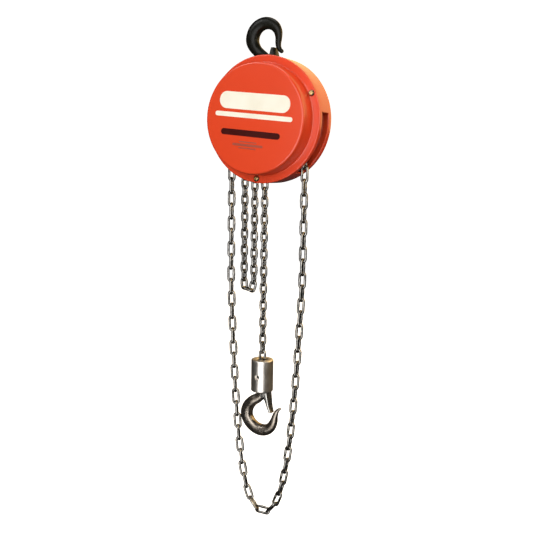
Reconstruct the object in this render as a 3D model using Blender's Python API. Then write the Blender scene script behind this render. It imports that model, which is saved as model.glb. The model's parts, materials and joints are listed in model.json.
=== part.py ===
"""Hand chain hoist with a round pressed-steel body, two latched hooks and two chains.

Units are metres, +Z is up and the front of the hoist faces -Y.
The origin is the saddle of the upper hook, the point that the hoist hangs from.
"""

import math

import bmesh
import bpy
from mathutils import Vector

# ---------------------------------------------------------------- driving sizes

# Lines that the mechanism is laid out on, as (x, z) in the plane of the body
BODY_AXIS = (0.0300, -0.1710)
SHEAVE_AXIS = (-0.0219, -0.1710)
GAP = 0.0003

# Facets around large, middling and small round pieces
ROUND = 36
ROUND_MIDDLING = 24
ROUND_SMALL = 16
ROUND_PIN = 10

# Pressed body
BODY_RADIUS = 0.1145
SHEET = 0.0025
FACE_Y = -0.1030
FLANGE_Y = -0.0700
RIM_BACK_Y = -0.0610
DRUM_BACK_Y = -0.0190
DOME_FACE_RADIUS = 0.0985
DOME_BASE_RADIUS = 0.1002
BRAKE_OPENING_RADIUS = 0.0500
SLOT_FROM = 6.0
SLOT_TO = -56.0
SLOT_BACK_Y = -0.0325
COVER_SCREW_CIRCLE = 0.1065
COVER_SCREW_ANGLES = (-95.5, 24.5, 144.5)

# Frame plates on each side of the load chain
PLATE_INNER_Y = 0.0127
PLATE_OUTER_Y = 0.0187
STAYS = ((-0.0600, -0.1580), (0.0660, -0.1850))
STAY_RADIUS = 0.0060
STAY_END_RADIUS = 0.0037
TRUNNION_Z = -0.0710
TRUNNION_RADIUS = 0.0070
HOOK_BORE_RADIUS = 0.0086
ANCHOR_PIN = (-0.0219, -0.2200)

# Hand chain and its pocket wheel
HAND_PLANE_Y = -0.0470
HAND_PITCH_RADIUS = 0.0761
HAND_POCKETS = 10
HAND_LOOP_BOTTOM = -0.9270
HAND_CATENARY = 0.0195
HAND_STRAND_RADIUS = 0.0060
HAND_STRAND_SIDE = 0.0042
HAND_STRAND_END_Z = -0.8600

# Load chain and its pocket sheave
LOAD_PITCH_RADIUS = 0.0219
LOAD_POCKETS = 4
LOAD_STRAND_RADIUS = 0.0065
LOAD_GROOVE_RADIUS = 0.0030
LOAD_GROOVE_END_Z = -0.2010
SLACK_LOOP_Z = -0.4890
SLACK_LOOP_BOTTOM_RADIUS = 0.0109
LIVE_CHAIN_END_Z = -0.6615

# Gear train: centre distances follow from the teeth
FIRST_MODULE = 0.0015
FIRST_TEETH = (12, 36)
SECOND_MODULE = 0.0020
SECOND_TEETH = (15, 40)
PRESSURE_ANGLE = math.radians(25.0)
BACKLASH = 0.00035
FIRST_STAGE_Y = (0.0215, 0.0295)
SECOND_STAGE_Y = (0.0310, 0.0400)
HOUSING_BACK_Y = 0.0470
HOUSING_WALL = 0.0030
HOUSING_FLANGE = 0.0080

# Shafts
INPUT_SHAFT_RADIUS = 0.0070
SHEAVE_SHAFT_RADIUS = 0.0090
STUD_RADIUS = 0.0060

# Ratchet and pawl, in the plane of the brake
RATCHET_Y = (-0.0303, -0.0263)
RATCHET_TEETH = 12
RATCHET_TIP = 0.0305
RATCHET_ROOT = 0.0260
RATCHET_TIP_LEAN = 0.02
PAWL_STUD = (0.0652, -0.1414)

# Load block
SLEEVE_RADIUS = 0.0215
SLEEVE_TOP_Z = -0.6340
SLEEVE_BOTTOM_Z = -0.6980
CHAIN_PIN_Z = -0.6670
UPPER_LATCH_PIVOT = (0.0020, -0.0530)
LOWER_LATCH_PIVOT = (0.0060, -0.7060)
LATCH_PIN_RADIUS = 0.0020
LATCH_SHEET = 0.0015


# ---------------------------------------------------------------- scene helpers

def clear_scene():
    for old in list(bpy.data.objects):
        bpy.data.objects.remove(old, do_unlink=True)


def make_material(name, colour, roughness, metallic):
    material = bpy.data.materials.new(name)
    material.use_nodes = True
    shader = material.node_tree.nodes["Principled BSDF"]
    shader.inputs["Base Color"].default_value = (*colour, 1.0)
    shader.inputs["Roughness"].default_value = roughness
    shader.inputs["Metallic"].default_value = metallic
    return material


def add_object(name, mesh_data, material, origin=(0.0, 0.0, 0.0)):
    """Turn a bmesh in world coordinates into an object whose origin is a chosen point."""
    bmesh.ops.recalc_face_normals(mesh_data, faces=mesh_data.faces)
    bmesh.ops.translate(mesh_data, vec=-Vector(origin), verts=mesh_data.verts)
    mesh = bpy.data.meshes.new(name)
    mesh_data.to_mesh(mesh)
    mesh_data.free()
    mesh.materials.append(material)
    mesh.shade_smooth()
    mesh.set_sharp_from_angle(angle=math.radians(35.0))
    piece = bpy.data.objects.new(name, mesh)
    piece.location = origin
    bpy.context.scene.collection.objects.link(piece)
    return piece


def boolean(piece, tool, operation):
    """Join a tool to a piece or cut it away, and keep the tool out of the model."""
    modifier = piece.modifiers.new(tool.name, "BOOLEAN")
    modifier.operation = operation
    modifier.solver = "EXACT"
    modifier.object = tool
    tool.hide_render = True
    tool.display_type = "WIRE"


# ---------------------------------------------------------------- shape helpers

def loft(loops, ring=False):
    """Skin equal closed loops in order; cap both ends, or close the row into a ring."""
    shape = bmesh.new()
    rows = [[shape.verts.new(point) for point in loop] for loop in loops]
    pairs = list(zip(rows, rows[1:]))
    if ring:
        pairs.append((rows[-1], rows[0]))
    count = len(rows[0])
    for first, second in pairs:
        for index in range(count):
            after = (index + 1) % count
            shape.faces.new((first[index], first[after], second[after], second[index]))
    if not ring:
        shape.faces.new(rows[0])
        shape.faces.new(rows[-1])
    return shape


def circle_points(centre, radius, count):
    """Points (x, z) around a centre."""
    steps = [2.0 * math.pi * index / count for index in range(count)]
    return [(centre[0] + radius * math.cos(a), centre[1] + radius * math.sin(a)) for a in steps]


def turned(
    name, profile, centre, material, along="y", bored=False, sides=ROUND_SMALL, origin=None
):
    """A solid of revolution. The profile is a list of (radius, position along the axis).

    A bored profile is a closed outline that stays off the axis. The centre is (x, z) for
    an axis along Y, and (x, y) for an axis along Z.
    """
    loops = []
    for radius, place in profile:
        ring = circle_points(centre, radius, sides)
        if along == "y":
            loops.append([(a, place, b) for a, b in ring])
        else:
            loops.append([(a, b, place) for a, b in ring])
    if origin is None:
        middle = 0.5 * (profile[0][1] + profile[-1][1])
        origin = (centre[0], middle, centre[1]) if along == "y" else (*centre, middle)
    return add_object(name, loft(loops, ring=bored), material, origin)


def washer_profile(inner, outer, low, high):
    return [(inner, low), (outer, low), (outer, high), (inner, high)]


def slab(name, outline, holes, front_y, back_y, material, origin=None):
    """A flat plate in the XZ plane with holes, from front_y to back_y."""
    shape = bmesh.new()
    edges = []
    for points in [outline, *holes]:
        corners = [shape.verts.new((x, front_y, z)) for x, z in points]
        for first, second in zip(corners, corners[1:] + corners[:1]):
            edges.append(shape.edges.new((first, second)))
    filled = bmesh.ops.triangle_fill(shape, use_beauty=True, use_dissolve=False, edges=edges)
    faces = [item for item in filled["geom"] if isinstance(item, bmesh.types.BMFace)]
    grown = bmesh.ops.extrude_face_region(shape, geom=faces)
    moved = [item for item in grown["geom"] if isinstance(item, bmesh.types.BMVert)]
    bmesh.ops.translate(shape, vec=(0.0, back_y - front_y, 0.0), verts=moved)
    return add_object(name, shape, material, origin or (outline[0][0], front_y, outline[0][1]))


def hull_of_circles(circles, sides=40):
    """Outline (x, z) of a tight belt around circles given as (x, z, radius)."""
    outline = []
    for index in range(sides):
        angle = 2.0 * math.pi * index / sides
        facing = (math.cos(angle), math.sin(angle))
        reach = [x * facing[0] + z * facing[1] + radius for x, z, radius in circles]
        x, z, radius = circles[reach.index(max(reach))]
        outline.append((x + radius * facing[0], z + radius * facing[1]))
    return outline


def swept(name, stations, material, origin, sides=10):
    """A round bar along a path in the XZ plane.

    A station is (x, z, half thickness in the plane, half thickness along Y).
    """
    loops = []
    last = len(stations) - 1
    for index, (x, z, in_plane, across) in enumerate(stations):
        before = stations[max(index - 1, 0)]
        after = stations[min(index + 1, last)]
        heading = Vector((after[0] - before[0], after[1] - before[1])).normalized()
        side = (-heading.y, heading.x)
        loop = []
        for step in range(sides):
            angle = 2.0 * math.pi * (step + 0.5) / sides
            reach = in_plane * math.cos(angle)
            loop.append((x + side[0] * reach, across * math.sin(angle), z + side[1] * reach))
        loops.append(loop)
    return add_object(name, loft(loops), material, origin)


def shift_y(piece, distance):
    piece.location.y += distance


def pin_cutter(name, centre, radius, low, high, sides=ROUND_SMALL):
    """A round bar along Y that cuts a hole at (x, z)."""
    profile = [(radius, low), (radius, high)]
    return turned(name, profile, centre, MATERIALS["cutter"], sides=sides)


# ---------------------------------------------------------------- pressed body

def body_point(radius, degrees):
    angle = math.radians(degrees)
    return (BODY_AXIS[0] + radius * math.cos(angle), BODY_AXIS[1] + radius * math.sin(angle))


def build_front_cover():
    """A dished disc with a flat screw flange and a short turned-back rim."""
    outer = [
        (0.0100, FACE_Y),
        (DOME_FACE_RADIUS - 0.0035, FACE_Y),
        (DOME_FACE_RADIUS, FACE_Y + 0.0035),
        (DOME_BASE_RADIUS, FLANGE_Y),
        (BODY_RADIUS - 0.0015, FLANGE_Y),
        (BODY_RADIUS, FLANGE_Y + 0.0015),
        (BODY_RADIUS, RIM_BACK_Y),
    ]
    inner = [
        (BODY_RADIUS - SHEET, RIM_BACK_Y),
        (BODY_RADIUS - SHEET, FLANGE_Y + SHEET),
        (DOME_BASE_RADIUS - SHEET, FLANGE_Y + SHEET),
        (DOME_FACE_RADIUS - SHEET, FACE_Y + SHEET),
        (0.0100, FACE_Y + SHEET),
    ]
    origin = (BODY_AXIS[0], FLANGE_Y, BODY_AXIS[1])
    skin = outer + inner
    cover = turned("front_cover", skin, BODY_AXIS, MATERIALS["red"], sides=ROUND, origin=origin)
    for index, degrees in enumerate(COVER_SCREW_ANGLES):
        place = body_point(COVER_SCREW_CIRCLE, degrees)
        hole = pin_cutter(f"cover_hole_{index}", place, 0.0026, -0.075, -0.062, sides=ROUND_PIN)
        boolean(cover, hole, "DIFFERENCE")


def slot_outline(start, end):
    """Sector of the drum wall that the hand chain passes through."""
    steps = 6
    turns = [start + (end - start) * index / steps for index in range(steps + 1)]
    outside = [body_point(BODY_RADIUS + 0.020, turn) for turn in turns]
    inside = [body_point(BODY_RADIUS - 0.010, turn) for turn in reversed(turns)]
    return outside + inside


def build_hand_wheel_cover():
    """The drum behind the front cover, open at its lower sides for the hand chain."""
    inner = BODY_RADIUS - SHEET
    back = DRUM_BACK_Y
    profile = [
        (inner, RIM_BACK_Y + GAP),
        (BODY_RADIUS, RIM_BACK_Y + GAP),
        (BODY_RADIUS, back - 0.0045),
        (BODY_RADIUS - 0.0045, back),
        (BRAKE_OPENING_RADIUS, back),
        (BRAKE_OPENING_RADIUS, back - SHEET),
        (inner, back - 0.0045),
    ]
    origin = (BODY_AXIS[0], back, BODY_AXIS[1])
    drum = turned(
        "hand_wheel_cover", profile, BODY_AXIS, MATERIALS["red"],
        bored=True, sides=ROUND, origin=origin,
    )
    for index, degrees in enumerate(COVER_SCREW_ANGLES):
        tab = screw_tab(index, degrees)
        boolean(drum, tab, "UNION")
        place = body_point(COVER_SCREW_CIRCLE, degrees)
        hole = pin_cutter(f"tab_hole_{index}", place, 0.0026, -0.064, -0.055, sides=ROUND_PIN)
        boolean(drum, hole, "DIFFERENCE")
    sides = (("right", SLOT_FROM, SLOT_TO), ("left", 180.0 - SLOT_FROM, 180.0 - SLOT_TO))
    for side, start, end in sides:
        outline = slot_outline(start, end)
        slot = slab(f"slot_{side}", outline, [], -0.070, SLOT_BACK_Y, MATERIALS["cutter"])
        boolean(drum, slot, "DIFFERENCE")


def screw_tab(index, degrees):
    """A tab that stands inward from the drum's front edge, under a cover screw."""
    along = Vector((math.cos(math.radians(degrees)), math.sin(math.radians(degrees))))
    across = Vector((-along.y, along.x)) * 0.0070
    middle = Vector(BODY_AXIS)
    near = middle + along * (COVER_SCREW_CIRCLE - 0.0070)
    far = middle + along * (BODY_RADIUS - 0.0010)
    outline = [near - across, far - across, far + across, near + across]
    outline = [(point.x, point.y) for point in outline]
    return slab(f"screw_tab_{index}", outline, [], -0.0602, -0.0575, MATERIALS["cutter"])


def build_cover_screws():
    for index, degrees in enumerate(COVER_SCREW_ANGLES):
        place = body_point(COVER_SCREW_CIRCLE, degrees)
        profile = [
            (0.0035, FLANGE_Y - 0.0034),
            (0.0052, FLANGE_Y - 0.0022),
            (0.0055, FLANGE_Y - GAP),
            (0.0022, FLANGE_Y - GAP),
            (0.0022, -0.0540),
        ]
        turned(f"cover_screw_{index + 1}", profile, place, MATERIALS["brass_plate"], sides=ROUND_PIN)


# ---------------------------------------------------------------- frame

def gear_centre_distance(module, teeth):
    return 0.5 * module * sum(teeth)


def intermediate_axis():
    """Where the intermediate gear meshes with both its neighbours, below their line."""
    to_input = gear_centre_distance(FIRST_MODULE, FIRST_TEETH)
    to_load = gear_centre_distance(SECOND_MODULE, SECOND_TEETH)
    between = BODY_AXIS[0] - SHEAVE_AXIS[0]
    along = (to_load ** 2 - to_input ** 2 + between ** 2) / (2.0 * between)
    down = math.sqrt(to_load ** 2 - along ** 2)
    return (SHEAVE_AXIS[0] + along, SHEAVE_AXIS[1] - down)


def housing_circles(extra):
    """Circles (x, z, radius) around the three gear shafts, grown by extra."""
    middle = intermediate_axis()
    return [
        (*SHEAVE_AXIS, 0.0445 + extra),
        (*middle, 0.0310 + extra),
        (*BODY_AXIS, 0.0140 + extra),
    ]


def housing_screw_places():
    middle = intermediate_axis()
    centre_line = HOUSING_WALL + 0.5 * HOUSING_FLANGE
    spots = [
        (SHEAVE_AXIS, 0.0445 + centre_line, 140.0),
        (middle, 0.0310 + centre_line, -70.0),
        (BODY_AXIS, 0.0140 + centre_line, 45.0),
    ]
    places = []
    for centre, radius, degrees in spots:
        angle = math.radians(degrees)
        places.append((centre[0] + radius * math.cos(angle), centre[1] + radius * math.sin(angle)))
    return places


def plate_outline():
    middle = intermediate_axis()
    circles = [
        (0.0, -0.0730, 0.0143),
        (*SHEAVE_AXIS, 0.0560),
        (-0.0240, -0.2240, 0.0180),
        (*middle, 0.0425),
        (0.0600, -0.1620, 0.0300),
    ]
    return hull_of_circles(circles, sides=32)


def build_frame_plates():
    outline = plate_outline()
    shared = [circle_points(place, STAY_END_RADIUS + GAP, ROUND_PIN) for place in STAYS]
    shared.append(circle_points((0.0, TRUNNION_Z), TRUNNION_RADIUS + GAP, ROUND_SMALL))
    shared.append(circle_points(ANCHOR_PIN, 0.0030 + GAP, ROUND_PIN))
    shared.append(circle_points(SHEAVE_AXIS, 0.0133, ROUND_SMALL))
    shared.append(circle_points(BODY_AXIS, 0.0113, ROUND_SMALL))
    stud_hole = [circle_points(PAWL_STUD, 0.0035, ROUND_PIN)]
    rear_holes = [circle_points(place, 0.0023, ROUND_PIN) for place in housing_screw_places()]
    rear_holes.append(circle_points(intermediate_axis(), STUD_RADIUS + GAP, ROUND_SMALL))
    steel = MATERIALS["frame_steel"]
    slab("front_frame_plate", outline, shared + stud_hole, -PLATE_OUTER_Y, -PLATE_INNER_Y, steel)
    slab("rear_frame_plate", outline, shared + rear_holes, PLATE_INNER_Y, PLATE_OUTER_Y, steel)


def build_stays():
    end = PLATE_OUTER_Y - 0.0002
    inner = PLATE_INNER_Y - GAP
    profile = [
        (STAY_END_RADIUS, -end),
        (STAY_END_RADIUS, -inner),
        (STAY_RADIUS, -inner),
        (STAY_RADIUS, inner),
        (STAY_END_RADIUS, inner),
        (STAY_END_RADIUS, end),
    ]
    for index, place in enumerate(STAYS):
        turned(f"frame_stay_{index + 1}", profile, place, MATERIALS["frame_steel"], sides=ROUND_PIN)


def build_suspension_block():
    """The crosshead that carries the upper hook, on trunnions in the frame plates."""
    outline = [(-0.0150, -0.0820), (0.0150, -0.0820), (0.0150, -0.0600), (-0.0150, -0.0600)]
    inner = PLATE_INNER_Y - GAP
    origin = (0.0, 0.0, TRUNNION_Z)
    block = slab("suspension_block", outline, [], -inner, inner, MATERIALS["frame_steel"], origin)
    trunnion = pin_cutter(
        "trunnion_bar", (0.0, TRUNNION_Z), TRUNNION_RADIUS, -PLATE_OUTER_Y, PLATE_OUTER_Y
    )
    boolean(block, trunnion, "UNION")
    bore = [(HOOK_BORE_RADIUS, -0.090), (HOOK_BORE_RADIUS, -0.050)]
    hole = turned("hook_bore", bore, (0.0, 0.0), MATERIALS["cutter"], along="z", sides=ROUND_MIDDLING)
    boolean(block, hole, "DIFFERENCE")


def build_bushes():
    """Flanged bronze bushes for the two shafts, one in each plate."""
    spots = (
        ("sheave_bush", SHEAVE_AXIS, SHEAVE_SHAFT_RADIUS + 0.0002, 0.0130),
        ("shaft_bush", BODY_AXIS, INPUT_SHAFT_RADIUS + 0.0002, 0.0110),
    )
    for name, centre, inner, outer in spots:
        for end, facing in (("front", -1.0), ("rear", 1.0)):
            low, high = sorted((facing * (PLATE_INNER_Y + GAP), facing * (PLATE_OUTER_Y + 0.0003)))
            ring = washer_profile(inner, outer, low, high)
            turned(f"{name}_{end}", ring, centre, MATERIALS["bronze"], bored=True)


def build_chain_anchor():
    """The pin that holds the dead end of the load chain, and the finger that strips the sheave."""
    end = PLATE_OUTER_Y - 0.0002
    profile = [(0.0030, -end), (0.0030, end)]
    turned("chain_anchor_pin", profile, ANCHOR_PIN, MATERIALS["pin_steel"], sides=ROUND_PIN)
    x, z = SHEAVE_AXIS
    outline = [
        (x - 0.0070, z - 0.0420),
        (x + 0.0070, z - 0.0420),
        (x + 0.0080, z - 0.0350),
        (x + 0.0040, z - 0.0300),
        (x - 0.0040, z - 0.0300),
        (x - 0.0080, z - 0.0350),
    ]
    inner = PLATE_INNER_Y - GAP
    slab("chain_stripper", outline, [], -inner, inner, MATERIALS["frame_steel"])


def build_gear_housing():
    """A deep pressed cup over the gears, with a flange for three screws."""
    bottom = HOUSING_BACK_Y
    mouth = PLATE_OUTER_Y + GAP
    rows = [
        (0.0, mouth),
        (HOUSING_WALL + HOUSING_FLANGE, mouth),
        (HOUSING_WALL + HOUSING_FLANGE, mouth + 0.0035),
        (HOUSING_WALL, mouth + 0.0035),
        (HOUSING_WALL, bottom - 0.0040),
        (HOUSING_WALL - 0.0040, bottom),
    ]
    loops = []
    for extra, y in reversed(rows):
        loops.append([(x, y, z) for x, z in hull_of_circles(housing_circles(extra), 32)])
    floor_y = bottom - HOUSING_WALL
    loops.append([(x, floor_y, z) for x, z in hull_of_circles(housing_circles(0.0), 32)])
    middle = (SHEAVE_AXIS[0], mouth, SHEAVE_AXIS[1])
    housing = add_object("gear_housing", loft(loops), MATERIALS["red"], middle)
    for index, place in enumerate(housing_screw_places()):
        hole = pin_cutter(f"housing_hole_{index}", place, 0.0023, 0.010, 0.030, sides=ROUND_PIN)
        boolean(housing, hole, "DIFFERENCE")
        low = mouth + 0.0035 + GAP
        profile = [(0.0020, 0.0140), (0.0020, low), (0.0036, low), (0.0036, low + 0.0028)]
        turned(f"housing_screw_{index + 1}", profile, place, MATERIALS["pin_steel"], sides=ROUND_PIN)


# ---------------------------------------------------------------- gears

def involute(angle):
    return math.tan(angle) - angle


def gear_outline(centre, teeth, module, first_tooth):
    """Involute teeth with shortened tips; first_tooth is the angle of a tooth's middle."""
    pitch = 0.5 * module * teeth
    base = pitch * math.cos(PRESSURE_ANGLE)
    radii = (pitch - 1.05 * module, pitch + 0.80 * module)
    half_at_pitch = (0.5 * math.pi * module - BACKLASH) / (2.0 * pitch)
    points = []
    for tooth in range(teeth):
        middle = first_tooth + 2.0 * math.pi * tooth / teeth
        flank = []
        for radius in radii:
            working = math.acos(min(base / max(radius, base), 1.0))
            half = half_at_pitch + involute(PRESSURE_ANGLE) - involute(working)
            flank.append((radius, half))
        for radius, half in flank:
            points.append((radius, middle - half))
        for radius, half in reversed(flank):
            points.append((radius, middle + half))
    return [(centre[0] + r * math.cos(a), centre[1] + r * math.sin(a)) for r, a in points]


def direction(start, end):
    return math.atan2(end[1] - start[1], end[0] - start[0])


def build_gears():
    """Hand wheel pinion, intermediate gear and pinion, and the load gear, all in mesh."""
    middle = intermediate_axis()
    steel = MATERIALS["gear_steel"]
    to_middle = direction(BODY_AXIS, middle)
    to_sheave = direction(middle, SHEAVE_AXIS)

    small, large = FIRST_TEETH
    pinion = gear_outline(BODY_AXIS, small, FIRST_MODULE, to_middle)
    origin = (BODY_AXIS[0], FIRST_STAGE_Y[0], BODY_AXIS[1])
    slab("input_pinion", pinion, [], 0.0210, 0.0300, steel, origin)
    wheel = gear_outline(middle, large, FIRST_MODULE, to_middle + math.pi + math.pi / large)
    stud_hole = [circle_points(middle, STUD_RADIUS + 0.0002, ROUND_SMALL)]
    origin = (middle[0], FIRST_STAGE_Y[0], middle[1])
    slab("intermediate_gear", wheel, stud_hole, *FIRST_STAGE_Y, steel, origin)

    small, large = SECOND_TEETH
    pinion = gear_outline(middle, small, SECOND_MODULE, to_sheave)
    slab("intermediate_pinion", pinion, stud_hole, 0.0298, 0.0405, steel, origin)
    wheel = gear_outline(SHEAVE_AXIS, large, SECOND_MODULE, to_sheave + math.pi + math.pi / large)
    bore = [circle_points(SHEAVE_AXIS, SHEAVE_SHAFT_RADIUS + 0.0002, ROUND_SMALL)]
    origin = (SHEAVE_AXIS[0], SECOND_STAGE_Y[0], SHEAVE_AXIS[1])
    slab("load_gear", wheel, bore, *SECOND_STAGE_Y, steel, origin)

    stud = [
        (STUD_RADIUS, PLATE_INNER_Y + GAP),
        (STUD_RADIUS, 0.0412),
        (0.0085, 0.0412),
        (0.0085, 0.0430),
    ]
    turned("intermediate_stud", stud, middle, MATERIALS["pin_steel"])


# ---------------------------------------------------------------- pocket wheels

def pocket_wheel(name, centre, plane_y, pockets, half_pocket, steps, lug, pocket, core, material):
    """A chain wheel whose rim alternates lugs and flat pockets.

    lug and pocket are the right-hand half of the rim as (radius, offset), outside first;
    core is the hub and web below it as a closed run of the same points for every station.
    """
    half_lug = math.pi / pockets - half_pocket
    loops = []
    for index in range(pockets):
        middle = 0.5 * math.pi + 2.0 * math.pi * index / pockets
        stations = []
        for step in range(steps + 1):
            across = half_pocket * (2.0 * step / steps - 1.0)
            stations.append((middle + across, pocket, 1.0 / math.cos(across)))
        for step in range(steps + 1):
            across = half_lug * (0.03 + 1.94 * step / steps)
            stations.append((middle + half_pocket + across, lug, 1.0))
        for turn, rim, scale in stations:
            half = [(radius * scale, offset) for radius, offset in rim]
            section = half + [(radius, -offset) for radius, offset in reversed(half)] + core
            loops.append([
                (centre[0] + r * math.cos(turn), plane_y + y, centre[1] + r * math.sin(turn))
                for r, y in section
            ])
    origin = (centre[0], plane_y, centre[1])
    return add_object(name, loft(loops, ring=True), material, origin)


def build_hand_wheel():
    lug = [(0.0810, 0.0110), (0.0840, 0.0085), (0.0840, 0.0056), (0.0680, 0.0046)]
    pocket = [(0.0760, 0.0110), (0.0780, 0.0094), (0.0735, 0.0084), (0.0680, 0.0046)]
    hub_front = -0.0600 - HAND_PLANE_Y
    hub_back = -0.0336 - HAND_PLANE_Y
    core = [
        (0.0620, -0.0110),
        (0.0600, -0.0030),
        (0.0180, -0.0030),
        (0.0180, hub_front),
        (INPUT_SHAFT_RADIUS + GAP, hub_front),
        (INPUT_SHAFT_RADIUS + GAP, hub_back),
        (0.0180, hub_back),
        (0.0600, 0.0030),
        (0.0620, 0.0110),
    ]
    half_pocket = math.atan(0.01465 / 0.0735)
    pocket_wheel(
        "hand_wheel", BODY_AXIS, HAND_PLANE_Y, HAND_POCKETS, half_pocket, 1,
        lug, pocket, core, MATERIALS["cast_iron"],
    )


def build_load_sheave():
    lug = [(0.0255, 0.0120), (0.0270, 0.0100), (0.0270, 0.0044), (0.0170, 0.0034)]
    pocket = [(0.0220, 0.0120), (0.0225, 0.0098), (0.0192, 0.0088), (0.0160, 0.0034)]
    inner = SHEAVE_SHAFT_RADIUS + 0.0004
    core = [(inner, -0.0120), (inner, 0.0120)]
    half_pocket = math.atan(0.0113 / 0.0192)
    pocket_wheel(
        "load_sheave", SHEAVE_AXIS, 0.0, LOAD_POCKETS, half_pocket, 2,
        lug, pocket, core, MATERIALS["gear_steel"],
    )
    shaft = [(SHEAVE_SHAFT_RADIUS, -PLATE_OUTER_Y), (SHEAVE_SHAFT_RADIUS, 0.0425)]
    turned("sheave_shaft", shaft, SHEAVE_AXIS, MATERIALS["pin_steel"])


# ---------------------------------------------------------------- brake and input shaft

def build_input_shaft():
    profile = [
        (INPUT_SHAFT_RADIUS - 0.0010, -0.0760),
        (INPUT_SHAFT_RADIUS, -0.0750),
        (INPUT_SHAFT_RADIUS, 0.0207),
    ]
    turned("input_shaft", profile, BODY_AXIS, MATERIALS["pin_steel"])


def build_brake():
    """The load brake's hub and linings, and the limiter's spring and nut in front of the wheel."""
    inner = INPUT_SHAFT_RADIUS + GAP
    hub = [
        (inner, -0.0193),
        (0.0260, -0.0193),
        (0.0260, -0.0230),
        (0.0115, -0.0230),
        (0.0115, -0.0333),
        (inner, -0.0333),
    ]
    turned("brake_hub", hub, BODY_AXIS, MATERIALS["gear_steel"], bored=True)
    lining = washer_profile(0.0118, 0.0255, -0.0260, -0.0233)
    turned("friction_disc_rear", lining, BODY_AXIS, MATERIALS["lining"], bored=True)
    lining = washer_profile(0.0118, 0.0255, -0.0333, -0.0306)
    turned("friction_disc_front", lining, BODY_AXIS, MATERIALS["lining"], bored=True)
    spring = [(inner, -0.0628), (0.0180, -0.0618), (0.0180, -0.0603), (inner, -0.0613)]
    turned("limiter_spring_washer", spring, BODY_AXIS, MATERIALS["pin_steel"], bored=True)
    nut = washer_profile(inner, 0.0130, -0.0710, -0.0632)
    hexagonal_nut("wheel_nut", nut, BODY_AXIS, "y")


def hexagonal_nut(name, profile, centre, along):
    """A bored nut whose outer rows are hexagons and whose bore is round."""
    sides = 18
    loops = []
    outer = max(radius for radius, _ in profile)
    for radius, place in profile:
        loop = []
        for index in range(sides):
            angle = 2.0 * math.pi * index / sides
            reach = radius
            if radius == outer:
                from_flat = (angle % (math.pi / 3.0)) - math.pi / 6.0
                reach = radius * math.cos(math.pi / 6.0) / math.cos(from_flat)
            a = centre[0] + reach * math.cos(angle)
            b = centre[1] + reach * math.sin(angle)
            loop.append((a, place, b) if along == "y" else (a, b, place))
        loops.append(loop)
    middle = 0.5 * (profile[0][1] + profile[2][1])
    origin = (centre[0], middle, centre[1]) if along == "y" else (*centre, middle)
    return add_object(name, loft(loops, ring=True), MATERIALS["pin_steel"], origin)


def build_ratchet():
    """The brake's ratchet disc, held from turning backwards by a sprung pawl."""
    first_face = math.radians(85.5)
    points = []
    for tooth in range(RATCHET_TEETH):
        face = first_face - 2.0 * math.pi * tooth / RATCHET_TEETH
        root = face - 2.0 * math.pi / RATCHET_TEETH
        tip = root + RATCHET_TIP_LEAN
        for radius, angle in ((RATCHET_TIP, tip), (RATCHET_ROOT, root)):
            x = BODY_AXIS[0] + radius * math.cos(angle)
            z = BODY_AXIS[1] + radius * math.sin(angle)
            points.append((x, z))
    bore = [circle_points(BODY_AXIS, 0.0118, ROUND_SMALL)]
    origin = (BODY_AXIS[0], RATCHET_Y[0], BODY_AXIS[1])
    slab("ratchet_disc", points, bore, *RATCHET_Y, MATERIALS["gear_steel"], origin)


def build_pawl():
    centre_x, centre_z = BODY_AXIS
    nose = [(0.0100, 0.0370), (0.0030, 0.0335), (0.0030, 0.0281), (0.0050, 0.0279), (0.0080, 0.0322)]
    boss = []
    for step in range(9):
        angle = math.radians(-110.0 + 220.0 * step / 8)
        boss.append((0.0352 + 0.0065 * math.cos(angle), 0.0296 + 0.0065 * math.sin(angle)))
    outline = [(centre_x + x, centre_z + z) for x, z in boss + nose]
    hole = [circle_points(PAWL_STUD, 0.0034, ROUND_PIN)]
    origin = (PAWL_STUD[0], RATCHET_Y[0], PAWL_STUD[1])
    slab("pawl", outline, hole, *RATCHET_Y, MATERIALS["gear_steel"], origin)
    stud = [
        (0.0055, -0.0325),
        (0.0055, -0.0307),
        (0.0032, -0.0307),
        (0.0032, -0.0135),
    ]
    turned("pawl_stud", stud, PAWL_STUD, MATERIALS["pin_steel"], sides=ROUND_PIN)
    coil = washer_profile(0.0036, 0.0055, -0.0259, -0.0230)
    turned("pawl_spring", coil, PAWL_STUD, MATERIALS["pin_steel"], bored=True, sides=ROUND_PIN)


# ---------------------------------------------------------------- chains

def hand_chain_x(height):
    """Half the width of the hanging loop at a height above its lowest point."""
    return min(HAND_PITCH_RADIUS, HAND_CATENARY * math.acosh(1.0 + height / HAND_CATENARY))


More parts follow.
